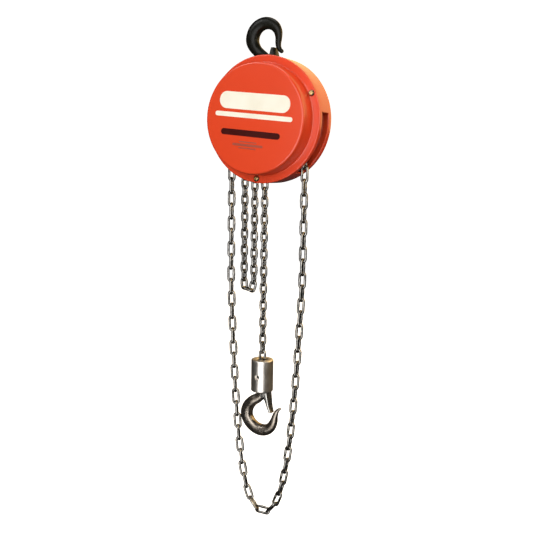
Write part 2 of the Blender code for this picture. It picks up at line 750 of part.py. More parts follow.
def build_hand_chain():
    """The endless hand chain: over the wheel, down both sides and round the bottom.

    Each run is a plain bar of about the chain's size, with real links left to the finish.
    """
    zinc = MATERIALS["chain"]
    size = HAND_STRAND_RADIUS
    top = BODY_AXIS[1] - GAP
    steps = 7
    for name, side in (("right", 1.0), ("left", -1.0)):
        stations = []
        for step in range(steps + 1):
            z = top + (HAND_STRAND_END_Z - top) * (step / steps) ** 0.8
            x = BODY_AXIS[0] + side * hand_chain_x(z - HAND_LOOP_BOTTOM)
            stations.append((x, z, size, HAND_STRAND_SIDE))
        run = swept(f"hand_chain_{name}", stations, zinc, (0.0, 0.0, 0.0), sides=6)
        shift_y(run, HAND_PLANE_Y)

    stations = []
    widest = hand_chain_x(HAND_STRAND_END_Z - HAND_LOOP_BOTTOM - 0.0008)
    for step in range(13):
        across = widest * math.cos(math.pi * step / 12)
        z = HAND_LOOP_BOTTOM + HAND_CATENARY * (math.cosh(across / HAND_CATENARY) - 1.0)
        stations.append((BODY_AXIS[0] + across, z, size, HAND_STRAND_SIDE))
    bottom = swept("hand_chain_bottom", stations, zinc, (0.0, 0.0, 0.0), sides=6)
    shift_y(bottom, HAND_PLANE_Y)
    half_ring("hand_chain_over_wheel", BODY_AXIS, HAND_PITCH_RADIUS, 0.0040, HAND_PLANE_Y, 16)


def half_ring(name, centre, radius, thickness, plane_y, steps):
    """The bar of chain that lies over the top half of a wheel."""
    start = 1.5 * GAP / radius
    stations = []
    for step in range(steps + 1):
        angle = start + (math.pi - 2.0 * start) * step / steps
        x = centre[0] + radius * math.cos(angle)
        z = centre[1] + radius * math.sin(angle)
        stations.append((x, z, thickness, thickness))
    ring = swept(name, stations, MATERIALS["chain"], (0.0, 0.0, 0.0), sides=6)
    shift_y(ring, plane_y)


def build_load_chain():
    """The load chain: live run, over the sheave, down to the slack loop and up to its anchor."""
    zinc = MATERIALS["chain"]
    size = LOAD_STRAND_RADIUS
    live_x = SHEAVE_AXIS[0] + LOAD_PITCH_RADIUS
    slack_x = SHEAVE_AXIS[0] - LOAD_PITCH_RADIUS
    top = SHEAVE_AXIS[1] - GAP
    runs = (
        ("live_chain", live_x, top, LIVE_CHAIN_END_Z),
        ("slack_chain_left", slack_x, top, SLACK_LOOP_Z),
        ("slack_chain_right", ANCHOR_PIN[0], ANCHOR_PIN[1] - 0.0045, SLACK_LOOP_Z),
    )
    for name, x, high, low in runs:
        stations = [(x, high, size, size), (x, low, size, size)]
        if high == top:
            thin = LOAD_GROOVE_RADIUS
            entry = [(x, high, thin, thin), (x, LOAD_GROOVE_END_Z, thin, thin)]
            stations = entry + [(x, LOAD_GROOVE_END_Z - 0.0040, size, size), stations[1]]
        swept(name, stations, zinc, (x, 0.0, high), sides=8)
    middle = 0.5 * (slack_x + ANCHOR_PIN[0])
    reach = 0.5 * (ANCHOR_PIN[0] - slack_x)
    start = SLACK_LOOP_Z - GAP
    stations = []
    for step in range(9):
        angle = math.pi + math.pi * step / 8
        x = middle + reach * math.cos(angle)
        z = start - 0.0030 + SLACK_LOOP_BOTTOM_RADIUS * math.sin(angle)
        stations.append((x, z, 0.0055, 0.0055))
    stations.insert(0, (slack_x, start, 0.0055, 0.0055))
    stations.append((ANCHOR_PIN[0], start, 0.0055, 0.0055))
    swept("slack_chain_bottom", stations, zinc, (middle, 0.0, SLACK_LOOP_Z), sides=8)
    half_ring("load_chain_over_sheave", SHEAVE_AXIS, LOAD_PITCH_RADIUS, 0.0030, 0.0, 10)


# ---------------------------------------------------------------- hooks

def build_upper_hook():
    """Forged hook with an out-turned ball tip, on a threaded shank."""
    shank = [(0.0, -0.0930, 0.0080, 0.0080), (0.0, -0.0598, 0.0080, 0.0080)]
    neck = [
        (0.0, -0.0597, 0.0098, 0.0090),
        (0.0, -0.0585, 0.0098, 0.0072),
        (0.0, -0.0545, 0.0080, 0.0070),
        (-0.0035, -0.0500, 0.0088, 0.0070),
        (-0.0115, -0.0450, 0.0098, 0.0074),
        (-0.0204, -0.0380, 0.0106, 0.0095),
        (-0.0275, -0.0285, 0.0120, 0.0105),
    ]
    bowl = []
    thickness = ((180, 0.0130), (155, 0.0129), (130, 0.0124), (105, 0.0117), (80, 0.0109),
                 (55, 0.0099), (30, 0.0083), (5, 0.0066))
    for degrees, half in thickness:
        angle = math.radians(degrees)
        reach = 0.0180 + half
        place = (0.0005 + reach * math.cos(angle), -0.0180 + reach * math.sin(angle))
        bowl.append((*place, half, 0.85 * half))
    tip = [
        (0.0243, -0.0260, 0.0056, 0.0052),
        (0.0251, -0.0330, 0.0049, 0.0048),
        (0.0280, -0.0385, 0.0042, 0.0042),
        (0.0314, -0.0414, 0.0036, 0.0036),
        (0.0334, -0.0424, 0.0018, 0.0018),
    ]
    hook = swept("upper_hook", shank + neck + bowl + tip, MATERIALS["black_steel"], (0.0, 0.0, 0.0))
    drill_for_latch(hook, "upper", UPPER_LATCH_PIVOT)
    nut = washer_profile(0.0083, 0.0120, -0.0910, -0.0823)
    hexagonal_nut("upper_hook_nut", nut, (0.0, 0.0), "z")


def build_lower_hook():
    """Forged hook that hangs on its headed shank inside the load block's sleeve."""
    shank = [
        (0.0, -0.6835, 0.0125, 0.0125),
        (0.0, -0.6900, 0.0125, 0.0125),
        (0.0, -0.6901, 0.0092, 0.0092),
        (0.0, -0.6990, 0.0092, 0.0092),
    ]
    neck = [
        (-0.0004, -0.7010, 0.0093, 0.0070),
        (-0.0015, -0.7060, 0.0094, 0.0070),
        (-0.0090, -0.7150, 0.0100, 0.0085),
        (-0.0200, -0.7222, 0.0108, 0.0098),
        (-0.0288, -0.7318, 0.0117, 0.0105),
    ]
    bowl = [
        (-0.0335, -0.7435, 0.0123, 0.0108),
        (-0.0330, -0.7560, 0.0123, 0.0108),
        (-0.0252, -0.7685, 0.0121, 0.0106),
        (-0.0130, -0.7770, 0.0119, 0.0105),
        (0.0005, -0.7798, 0.0117, 0.0103),
        (0.0130, -0.7770, 0.0108, 0.0096),
        (0.0224, -0.7690, 0.0094, 0.0085),
        (0.0282, -0.7580, 0.0072, 0.0066),
    ]
    tip = [
        (0.0311, -0.7487, 0.0050, 0.0048),
        (0.0350, -0.7412, 0.0036, 0.0036),
        (0.0402, -0.7370, 0.0020, 0.0022),
    ]
    hook = swept("lower_hook", shank + neck + bowl + tip, MATERIALS["hook_steel"], (0.0, 0.0, -0.7))
    drill_for_latch(hook, "lower", LOWER_LATCH_PIVOT)


def drill_for_latch(piece, name, pivot):
    hole = pin_cutter(f"{name}_{piece.name}_hole", pivot, LATCH_PIN_RADIUS + GAP, -0.020, 0.020, 12)
    boolean(piece, hole, "DIFFERENCE")


def latch(name, rows, pivot, material):
    """A folded safety latch: a web with two side cheeks, tapered towards its free end.

    A row is (z, x of the web's outside, x of the cheek's edge, half the width along Y).
    """
    loops = []
    for z, web, edge, half in rows:
        inside = web - LATCH_SHEET
        gap = half - LATCH_SHEET
        outline = [
            (web, -half), (web, half), (edge, half), (edge, gap),
            (inside, gap), (inside, -gap), (edge, -gap), (edge, -half),
        ]
        loops.append([(x, y, z) for x, y in outline])
    origin = (pivot[0], 0.0, pivot[1])
    piece = add_object(f"{name}_latch", loft(loops), material, origin)
    drill_for_latch(piece, name, pivot)
    half = rows[0][3] + GAP
    pin = [(0.0034, -half - 0.0012), (0.0034, -half), (LATCH_PIN_RADIUS, -half),
           (LATCH_PIN_RADIUS, half), (0.0034, half), (0.0034, half + 0.0012)]
    turned(f"{name}_latch_pin", pin, pivot, MATERIALS["pin_steel"], sides=12)
    coil = washer_profile(LATCH_PIN_RADIUS + GAP, 0.0042, 0.0076, rows[0][3] - LATCH_SHEET - GAP)
    turned(f"{name}_latch_spring", coil, pivot, MATERIALS["pin_steel"], bored=True, sides=12)


def build_latches():
    upper = [
        (-0.0560, 0.0232, -0.0030, 0.0110),
        (-0.0490, 0.0222, 0.0045, 0.0110),
        (-0.0345, 0.0190, 0.0130, 0.0080),
    ]
    lower = [
        (-0.7015, 0.0210, 0.0015, 0.0110),
        (-0.7115, 0.0218, 0.0025, 0.0110),
        (-0.7420, 0.0245, 0.0195, 0.0075),
    ]
    latch("upper", upper, UPPER_LATCH_PIVOT, MATERIALS["black_steel"])
    latch("lower", lower, LOWER_LATCH_PIVOT, MATERIALS["pin_steel"])


# ---------------------------------------------------------------- load block

def build_load_block():
    """The sleeve that joins the chain's last link to the swivelling lower hook."""
    radius = SLEEVE_RADIUS
    top = SLEEVE_TOP_Z
    bottom = SLEEVE_BOTTOM_Z
    profile = [
        (0.0100, top),
        (radius - 0.0018, top),
        (radius, top - 0.0018),
        (radius, bottom + 0.0022),
        (radius - 0.0022, bottom),
        (0.0140, bottom),
        (0.0140, -0.6820),
        (0.0100, -0.6820),
    ]
    steel = MATERIALS["hook_steel"]
    origin = (0.0, 0.0, CHAIN_PIN_Z)
    sleeve = turned(
        "load_block_sleeve", profile, (0.0, 0.0), steel,
        along="z", bored=True, sides=ROUND_MIDDLING, origin=origin,
    )
    bore = [(0.0046, -0.0300), (0.0046, -0.0170), (0.0031, -0.0170), (0.0031, 0.0300)]
    hole = turned("chain_pin_bore", bore, (0.0, CHAIN_PIN_Z), MATERIALS["cutter"], sides=12)
    boolean(sleeve, hole, "DIFFERENCE")
    pin = [(0.0042, -0.0203), (0.0042, -0.0173), (0.0028, -0.0173), (0.0028, 0.0205)]
    turned("chain_pin", pin, (0.0, CHAIN_PIN_Z), MATERIALS["pin_steel"], sides=12)
    ring = washer_profile(0.0095, 0.0136, -0.6919, -0.6904)
    turned("thrust_washer", ring, (0.0, 0.0), MATERIALS["bronze"], along="z", bored=True)
    ring = washer_profile(0.0095, 0.0137, -0.6977, -0.6922)
    turned("hook_collar", ring, (0.0, 0.0), MATERIALS["pin_steel"], along="z", bored=True)


# ---------------------------------------------------------------- build

clear_scene()

MATERIALS = {
    "red": make_material("red_enamel", (0.80, 0.10, 0.025), 0.28, 0.0),
    "black_steel": make_material("black_steel", (0.02, 0.02, 0.018), 0.38, 0.6),
    "hook_steel": make_material("hook_steel", (0.28, 0.25, 0.21), 0.38, 0.9),
    "chain": make_material("chain_zinc", (0.42, 0.40, 0.37), 0.35, 1.0),
    "frame_steel": make_material("frame_steel", (0.20, 0.20, 0.20), 0.50, 0.9),
    "gear_steel": make_material("gear_steel", (0.35, 0.35, 0.36), 0.40, 1.0),
    "pin_steel": make_material("pin_steel", (0.45, 0.45, 0.45), 0.35, 1.0),
    "cast_iron": make_material("cast_iron", (0.10, 0.10, 0.10), 0.60, 0.7),
    "bronze": make_material("bronze", (0.55, 0.36, 0.16), 0.40, 1.0),
    "brass_plate": make_material("brass_plate", (0.60, 0.45, 0.22), 0.30, 1.0),
    "lining": make_material("brake_lining", (0.16, 0.11, 0.08), 0.90, 0.0),
    "cutter": make_material("cutter", (0.5, 0.5, 0.5), 0.5, 0.0),
}

build_front_cover()
build_hand_wheel_cover()
build_cover_screws()
build_frame_plates()
build_stays()
build_suspension_block()
build_bushes()
build_chain_anchor()
build_gear_housing()
build_gears()
build_hand_wheel()
build_load_sheave()
build_input_shaft()
build_brake()
build_ratchet()
build_pawl()
build_hand_chain()
build_load_chain()
build_upper_hook()
build_lower_hook()
build_latches()
build_load_block()
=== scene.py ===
"""Looks of the hand chain hoist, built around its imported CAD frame.

Units are metres, +Z is up and the hoist's front faces -Y. The upper hook's saddle is the origin.
"""

import json
import math

import bmesh
import bpy
import numpy as np
from mathutils import Matrix, Vector


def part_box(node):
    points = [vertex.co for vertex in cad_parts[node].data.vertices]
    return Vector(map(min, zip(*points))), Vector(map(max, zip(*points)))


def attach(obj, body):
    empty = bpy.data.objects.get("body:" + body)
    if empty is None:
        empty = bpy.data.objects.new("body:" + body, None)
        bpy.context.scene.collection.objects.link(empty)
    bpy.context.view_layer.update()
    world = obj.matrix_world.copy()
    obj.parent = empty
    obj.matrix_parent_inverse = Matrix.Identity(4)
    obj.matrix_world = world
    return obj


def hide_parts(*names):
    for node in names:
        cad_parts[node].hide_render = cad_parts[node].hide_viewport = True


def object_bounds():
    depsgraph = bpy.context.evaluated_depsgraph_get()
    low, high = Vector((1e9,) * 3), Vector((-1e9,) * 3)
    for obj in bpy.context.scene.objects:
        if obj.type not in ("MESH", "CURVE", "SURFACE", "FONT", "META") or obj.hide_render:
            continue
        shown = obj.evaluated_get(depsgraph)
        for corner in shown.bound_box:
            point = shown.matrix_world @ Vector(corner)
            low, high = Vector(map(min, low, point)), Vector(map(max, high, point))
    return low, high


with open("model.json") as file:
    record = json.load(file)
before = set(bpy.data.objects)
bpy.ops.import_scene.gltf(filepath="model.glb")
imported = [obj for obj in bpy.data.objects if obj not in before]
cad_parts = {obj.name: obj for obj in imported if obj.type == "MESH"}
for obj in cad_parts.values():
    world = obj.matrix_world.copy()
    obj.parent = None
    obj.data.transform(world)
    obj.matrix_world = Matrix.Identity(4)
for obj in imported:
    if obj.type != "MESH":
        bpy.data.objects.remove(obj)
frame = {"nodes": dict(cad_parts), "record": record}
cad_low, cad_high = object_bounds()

# ---------------------------------------------------------------- sizes shared with the CAD

BODY_AXIS = (0.0300, -0.1710)
SHEAVE_AXIS = (-0.0219, -0.1710)
MIDDLE_AXIS = (0.020707, -0.205780)
BODY_RADIUS = 0.1145
SHEET = 0.0025
FACE_Y = -0.1030
FLANGE_Y = -0.0700
RIM_BACK_Y = -0.0610
DRUM_BACK_Y = -0.0190
SLOT_BACK_Y = -0.0325
BRAKE_OPENING = 0.0500
SCREW_CIRCLE = 0.1065
SCREW_ANGLES = (-95.5, 24.5, 144.5)
HAND_PLANE_Y = -0.0470
HAND_PITCH_RADIUS = 0.0761
HAND_LOOP_BOTTOM = -0.9270
HAND_CATENARY = 0.0195
LOAD_PITCH_RADIUS = 0.0219
SLACK_LOOP_Z = -0.4890
CHAIN_PIN_Z = -0.6670
PLATE_OUTER_Y = 0.0187
DOME_FACE_RADIUS = 0.0985
DOME_BASE_RADIUS = 0.1002
HOUSING_BACK_Y = 0.0470

# ---------------------------------------------------------------- sizes of the looks only

HAND_WIRE, HAND_LINK_WIDTH = 0.0049, 0.0157
LOAD_WIRE, LOAD_LINK_WIDTH = 0.0050, 0.0162
HAND_CHAIN_LINKS = 63
LIVE_CHAIN_LINKS = 29
SLACK_CHAIN_LINKS = 37
HAND_BOTTOM_SPLIT_Z = -0.8650
PRINT_TILT_DEGREES = -5.5
PRINT_PROUD, PRINT_DEPTH = 0.00012, 0.00030
COVER_SEAM = 0.0003

# ---------------------------------------------------------------- view and studio

CAMERA_EYE = (0.6969, -1.3016, -0.2520)
CAMERA_TARGET = (0.0431, -0.0636, -0.4412)
CAMERA_LENS = 51.2
CAMERA_ROLL_DEGREES = 0.85
AMBIENT_LIGHT = 0.035
FLOOR_GLOW = 0.95
FLOOR_GAP = 0.012
FLOOR_REACH, FLOOR_TOP, FLOOR_BEND = 6.0, 5.0, 1.5
WARM_WHITE = (1.0, 0.88, 0.68)
AMBER = (1.0, 0.66, 0.26)
LIGHT_AMBER = (1.0, 0.68, 0.28)


# ---------------------------------------------------------------- materials

class Nodes:
    """A short way to wire one Principled material."""

    def __init__(self, name):
        self.material = bpy.data.materials.new(name)
        self.material.use_nodes = True
        self.tree = self.material.node_tree
        self.shader = self.tree.nodes["Principled BSDF"]

    def add(self, kind, **values):
        node = self.tree.nodes.new(kind)
        for key, value in values.items():
            if hasattr(node, key):
                setattr(node, key, value)
            else:
                node.inputs[key.replace("_", " ")].default_value = value
        return node

    def link(self, source, target):
        self.tree.links.new(source, target)

    def noise(self, scale, detail=3.0, stretch=(1.0, 1.0, 1.0)):
        coordinates = self.add("ShaderNodeTexCoord")
        mapping = self.add("ShaderNodeMapping")
        mapping.inputs["Scale"].default_value = stretch
        self.link(coordinates.outputs["Object"], mapping.inputs["Vector"])
        node = self.add("ShaderNodeTexNoise")
        node.inputs["Scale"].default_value = scale
        node.inputs["Detail"].default_value = detail
        self.link(mapping.outputs["Vector"], node.inputs["Vector"])
        return node.outputs["Fac"]

    def spread(self, source, low, high, start=0.3, end=0.7):
        node = self.add("ShaderNodeMapRange")
        for key, value in (("From Min", start), ("From Max", end), ("To Min", low), ("To Max", high)):
            node.inputs[key].default_value = value
        self.link(source, node.inputs["Value"])
        return node.outputs["Result"]

    def blend(self, factor, first, second):
        node = self.add("ShaderNodeMix", data_type="RGBA")
        node.inputs["Factor"].default_value = 0.5
        self.link(factor, node.inputs["Factor"])
        for socket, value in ((node.inputs[6], first), (node.inputs[7], second)):
            if isinstance(value, tuple):
                socket.default_value = (*value, 1.0)
            else:
                self.link(value, socket)
        return node.outputs[2]


def surface(
    name, dark, light, rough, metal=0.0, tint_scale=60.0, rough_scale=140.0,
    bumps=((900.0, 0.15, (1.0, 1.0, 1.0)),), depth=0.00008, coat=0.0, wear=None, level=0.5,
):
    """A Principled material with mottled colour, uneven roughness, fine relief and worn edges."""
    nodes = Nodes(name)
    shader = nodes.shader
    patch = nodes.spread(nodes.noise(tint_scale, 5.0), 0.0, 1.0)
    colour = nodes.blend(patch, dark, light)
    roughness = nodes.spread(nodes.noise(rough_scale, 4.0), rough[0], rough[1])
    if wear:
        edge = nodes.add("ShaderNodeNewGeometry").outputs["Pointiness"]
        ridge = nodes.spread(edge, 0.0, 1.0, 0.52, 0.60)
        mask = nodes.add("ShaderNodeMath", operation="MULTIPLY")
        nodes.link(ridge, mask.inputs[0])
        nodes.link(nodes.spread(nodes.noise(220.0, 6.0), 0.0, wear[1], 0.40, 0.65), mask.inputs[1])
        colour = nodes.blend(mask.outputs["Value"], colour, wear[0])
    nodes.link(colour, shader.inputs["Base Color"])
    nodes.link(roughness, shader.inputs["Roughness"])
    shader.inputs["Metallic"].default_value = metal
    shader.inputs["Coat Weight"].default_value = coat
    shader.inputs["Coat Roughness"].default_value = 0.06
    shader.inputs["Specular IOR Level"].default_value = level
    height = None
    for scale, strength, stretch in bumps:
        grain = nodes.noise(scale, 4.0, stretch)
        bump = nodes.add("ShaderNodeBump")
        bump.inputs["Strength"].default_value = strength
        bump.inputs["Distance"].default_value = depth
        nodes.link(grain, bump.inputs["Height"])
        if height is not None:
            nodes.link(height, bump.inputs["Normal"])
        height = bump.outputs["Normal"]
    nodes.link(height, shader.inputs["Normal"])
    return nodes.material


EVEN = (1.0, 1.0, 1.0)
MATERIALS = {
    "red_enamel": surface(
        "red_enamel", (0.745, 0.060, 0.017), (0.770, 0.066, 0.019), (0.235, 0.265), tint_scale=9.0,
        rough_scale=30.0, bumps=((160.0, 0.03, EVEN), (900.0, 0.02, EVEN)), depth=0.0001,
        coat=0.35, level=0.40,
    ),
    "black_steel": surface(
        "black_steel", (0.004, 0.004, 0.003), (0.010, 0.010, 0.006), (0.22, 0.38),
        tint_scale=40.0, bumps=((320.0, 0.35, EVEN), (1400.0, 0.2, EVEN)), depth=0.0003,
        wear=((0.060, 0.055, 0.030), 0.6), level=0.17,
    ),
    "hook_steel": surface(
        "hook_steel", (0.130, 0.104, 0.080), (0.380, 0.335, 0.285), (0.20, 0.36), metal=0.95,
        tint_scale=55.0, bumps=((260.0, 0.35, EVEN), (1300.0, 0.25, EVEN)), depth=0.00025,
        wear=((0.46, 0.42, 0.37), 0.9),
    ),
    "sleeve_steel": surface(
        "sleeve_steel", (0.68, 0.63, 0.57), (0.84, 0.80, 0.75), (0.34, 0.43), metal=1.0,
        tint_scale=45.0, bumps=((500.0, 0.10, (1.0, 1.0, 0.15)), (1400.0, 0.06, EVEN)),
        depth=0.0001, wear=((0.70, 0.67, 0.62), 0.8),
    ),
    "latch_steel": surface(
        "latch_steel", (0.38, 0.37, 0.34), (0.58, 0.56, 0.52), (0.20, 0.34), metal=1.0,
        tint_scale=90.0, bumps=((500.0, 0.2, EVEN),), wear=((0.80, 0.78, 0.74), 0.7),
    ),
    "chain_zinc": surface(
        "chain_zinc", (0.050, 0.047, 0.043), (0.34, 0.325, 0.30), (0.10, 0.24), metal=1.0,
        tint_scale=120.0, bumps=((800.0, 0.3, EVEN),), depth=0.00012,
        wear=((0.62, 0.60, 0.56), 0.6),
    ),
    "frame_steel": surface(
        "frame_steel", (0.10, 0.10, 0.10), (0.22, 0.22, 0.215), (0.38, 0.55), metal=0.9,
        bumps=((900.0, 0.15, EVEN),), wear=((0.4, 0.4, 0.38), 0.5),
    ),
    "gear_steel": surface(
        "gear_steel", (0.20, 0.20, 0.20), (0.38, 0.38, 0.37), (0.28, 0.42), metal=1.0,
        bumps=((600.0, 0.25, EVEN),), wear=((0.7, 0.7, 0.68), 0.7),
    ),
    "pin_steel": surface(
        "pin_steel", (0.32, 0.31, 0.29), (0.52, 0.51, 0.48), (0.22, 0.36), metal=1.0,
        bumps=((700.0, 0.2, EVEN),), wear=((0.75, 0.73, 0.70), 0.6),
    ),
    "cast_iron": surface(
        "cast_iron", (0.035, 0.033, 0.030), (0.085, 0.080, 0.072), (0.50, 0.70), metal=0.6,
        tint_scale=80.0, bumps=((350.0, 0.6, EVEN), (1200.0, 0.4, EVEN)), depth=0.0004,
    ),
    "bronze": surface(
        "bronze", (0.36, 0.20, 0.07), (0.58, 0.35, 0.14), (0.28, 0.42), metal=1.0,
        bumps=((600.0, 0.25, EVEN),),
    ),
    "brass_screw": surface(
        "brass_screw", (0.46, 0.33, 0.13), (0.74, 0.60, 0.32), (0.18, 0.34), metal=1.0,
        tint_scale=200.0, bumps=((900.0, 0.2, EVEN),), wear=((0.9, 0.82, 0.6), 0.6),
    ),
    "brake_lining": surface(
        "brake_lining", (0.075, 0.050, 0.035), (0.16, 0.11, 0.075), (0.80, 0.95),
        tint_scale=400.0, bumps=((900.0, 0.8, EVEN),), depth=0.0003,
    ),
    "cream_print": surface(
        "cream_print", (0.88, 0.82, 0.66), (0.95, 0.90, 0.76), (0.30, 0.42), tint_scale=25.0,
        bumps=((260.0, 0.08, EVEN),), level=0.3,
    ),
    "dark_print": surface(
        "dark_print", (0.040, 0.002, 0.001), (0.060, 0.004, 0.002), (0.30, 0.42), tint_scale=25.0,
        bumps=((260.0, 0.08, EVEN),), level=0.2,
    ),
    "faint_print": surface(
        "faint_print", (0.33, 0.052, 0.026), (0.40, 0.070, 0.034), (0.35, 0.48), tint_scale=25.0,
        bumps=((260.0, 0.08, EVEN),), coat=0.20,
    ),
}


# ---------------------------------------------------------------- mesh helpers

SHARP_DEGREES = 40.0


def mesh_object(name, verts, faces, material, sharp=SHARP_DEGREES):
    """A new object with smooth shading up to the sharp angle."""
    mesh = bpy.data.meshes.new(name)
    mesh.from_pydata([tuple(v) for v in verts], [], [tuple(f) for f in faces])
    shape = bmesh.new()
    shape.from_mesh(mesh)
    bmesh.ops.remove_doubles(shape, verts=shape.verts, dist=1e-6)
    bmesh.ops.recalc_face_normals(shape, faces=shape.faces)
    shape.to_mesh(mesh)
    shape.free()
    mesh.materials.append(MATERIALS[material])
    mesh.shade_smooth()
    mesh.set_sharp_from_angle(angle=math.radians(sharp))
    piece = bpy.data.objects.new(name, mesh)
    bpy.context.scene.collection.objects.link(piece)
    return piece


def place(piece, body, slot, *nodes):
    """Ride on a body and stand for CAD nodes; the slot is not used."""
    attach(piece, body)
    if nodes:
        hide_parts(*nodes)
    return piece


def rounded(points, radii, steps=6):
    """A line of 2-D points with its corners filleted; a radius of 0 keeps a corner."""
    result = []
    for index, (x, y) in enumerate(points):
        radius = radii[index]
        if radius <= 0.0 or index in (0, len(points) - 1):
            result.append((x, y))
            continue
        here = Vector((x, y))
        before = Vector(points[index - 1]) - here
        after = Vector(points[index + 1]) - here
        half = 0.5 * before.angle(after)
        reach = min(radius / math.tan(half), 0.48 * before.length, 0.48 * after.length)
        radius = reach * math.tan(half)
        middle = here + (before.normalized() + after.normalized()).normalized() * (radius / math.sin(half))
        start = here + before.normalized() * reach - middle
        end = here + after.normalized() * reach - middle
        turn = start.angle_signed(end)
        for step in range(steps + 1):
            angle = -turn * step / steps
            c, s = math.cos(angle), math.sin(angle)
            result.append((middle.x + c * start.x - s * start.y, middle.y + s * start.x + c * start.y))
    return result


def rounded_loop(points, radii, steps=6):
    """The same for a closed outline."""
    ring = [points[-1], *points, points[0]]
    radii = [0.0, *radii, 0.0]
    line = rounded(ring, radii, steps)
    return line[1:-1]


def lathe(name, profile, centre, material, along="y", closed=True, steps=96, sharp=SHARP_DEGREES):
    """Turn a profile of (radius, place along the axis). A closed profile is a ring."""
    verts, faces = [], []
    count = len(profile)
    for turn in range(steps):
        angle = 2.0 * math.pi * turn / steps
        for radius, where in profile:
            a = centre[0] + radius * math.cos(angle)
            b = centre[1] + radius * math.sin(angle)
            verts.append((a, where, b) if along == "y" else (a, b, where))
    spans = count if closed else count - 1
    for turn in range(steps):
        after = (turn + 1) % steps
        for index in range(spans):
            nxt = (index + 1) % count
            here, there = turn * count, after * count
            faces.append((here + index, here + nxt, there + nxt, there + index))
    return mesh_object(name, verts, faces, material, sharp)


def apply_modifiers(piece):
    """Bake the piece's modifiers into its mesh."""
    graph = bpy.context.evaluated_depsgraph_get()
    mesh = bpy.data.meshes.new_from_object(piece.evaluated_get(graph))
    mesh.name = piece.name
    piece.modifiers.clear()
    piece.data = mesh
    mesh.shade_smooth()
    mesh.set_sharp_from_angle(angle=math.radians(SHARP_DEGREES))
    return piece


def cut(piece, *tools):
    """Take the tools' shapes out of the piece and remove the tools."""
    for tool in tools:
        modifier = piece.modifiers.new("cut", "BOOLEAN")
        modifier.operation = "DIFFERENCE"
        modifier.solver = "EXACT"
        modifier.object = tool
    apply_modifiers(piece)
    for tool in tools:
        bpy.data.objects.remove(tool, do_unlink=True)
    return piece


def bevel(piece, width, segments=3, angle=35.0):
    """Round the edges that are sharper than the angle."""
    modifier = piece.modifiers.new("bevel", "BEVEL")
    modifier.width = width
    modifier.segments = segments
    modifier.limit_method = "ANGLE"
    modifier.angle_limit = math.radians(angle)
    modifier.harden_normals = False
    return apply_modifiers(piece)


def extrude(name, outline, front_y, back_y, material):
    """A flat plate in the XZ plane from an outline of (x, z)."""
    count = len(outline)
    verts = [(x, front_y, z) for x, z in outline] + [(x, back_y, z) for x, z in outline]
    faces = [tuple(range(count)), tuple(range(count, 2 * count))]
    for index in range(count):
        nxt = (index + 1) % count
        faces.append((index, nxt, count + nxt, count + index))
    return mesh_object(name, verts, faces, material)


def skin(name, loops, material, sharp):
    """Join equal closed loops in order and cap the ends."""
    verts = [point for loop in loops for point in loop]
    size = len(loops[0])
    faces = []
    for row in range(len(loops) - 1):
        for index in range(size):
            nxt = (index + 1) % size
            a, b = row * size, (row + 1) * size
            faces.append((a + index, a + nxt, b + nxt, b + index))
    faces.append(tuple(range(size)))
    faces.append(tuple(range(len(verts) - size, len(verts))))
    return mesh_object(name, verts, faces, material, sharp)


def body_point(radius, degrees):
    """The (x, z) at a radius and angle about the round body's axis."""
    angle = math.radians(degrees)
    return (BODY_AXIS[0] + radius * math.cos(angle), BODY_AXIS[1] + radius * math.sin(angle))


# ---------------------------------------------------------------- camera, light and floor

def camera():
    """A view from the hoist's right front, aimed between the body and the load block."""
    eye, target = Vector(CAMERA_EYE), Vector(CAMERA_TARGET)
    data = bpy.data.cameras.new("camera")
    data.lens = CAMERA_LENS
    data.sensor_width = 36.0
    data.clip_end = 50.0
    piece = bpy.data.objects.new("camera", data)
    bpy.context.scene.collection.objects.link(piece)
    turn = (target - eye).to_track_quat("-Z", "Y").to_matrix().to_4x4()
    roll = Matrix.Rotation(math.radians(CAMERA_ROLL_DEGREES), 4, "Z")
    piece.matrix_world = Matrix.Translation(eye) @ turn @ roll
    bpy.context.scene.camera = piece


def area_light(name, place_at, aim, size, power, colour=(1.0, 1.0, 1.0)):
    """A rectangle of light of (width, height) that the camera doesn't see."""
    data = bpy.data.lights.new(name, "AREA")
    data.shape = "RECTANGLE"
    data.size, data.size_y = size
    data.energy = power
    data.color = colour
    lamp = bpy.data.objects.new(name, data)
    lamp.location = place_at
    lamp.rotation_euler = (Vector(aim) - Vector(place_at)).to_track_quat("-Z", "Y").to_euler()
    bpy.context.scene.collection.objects.link(lamp)
    lamp.visible_camera = False


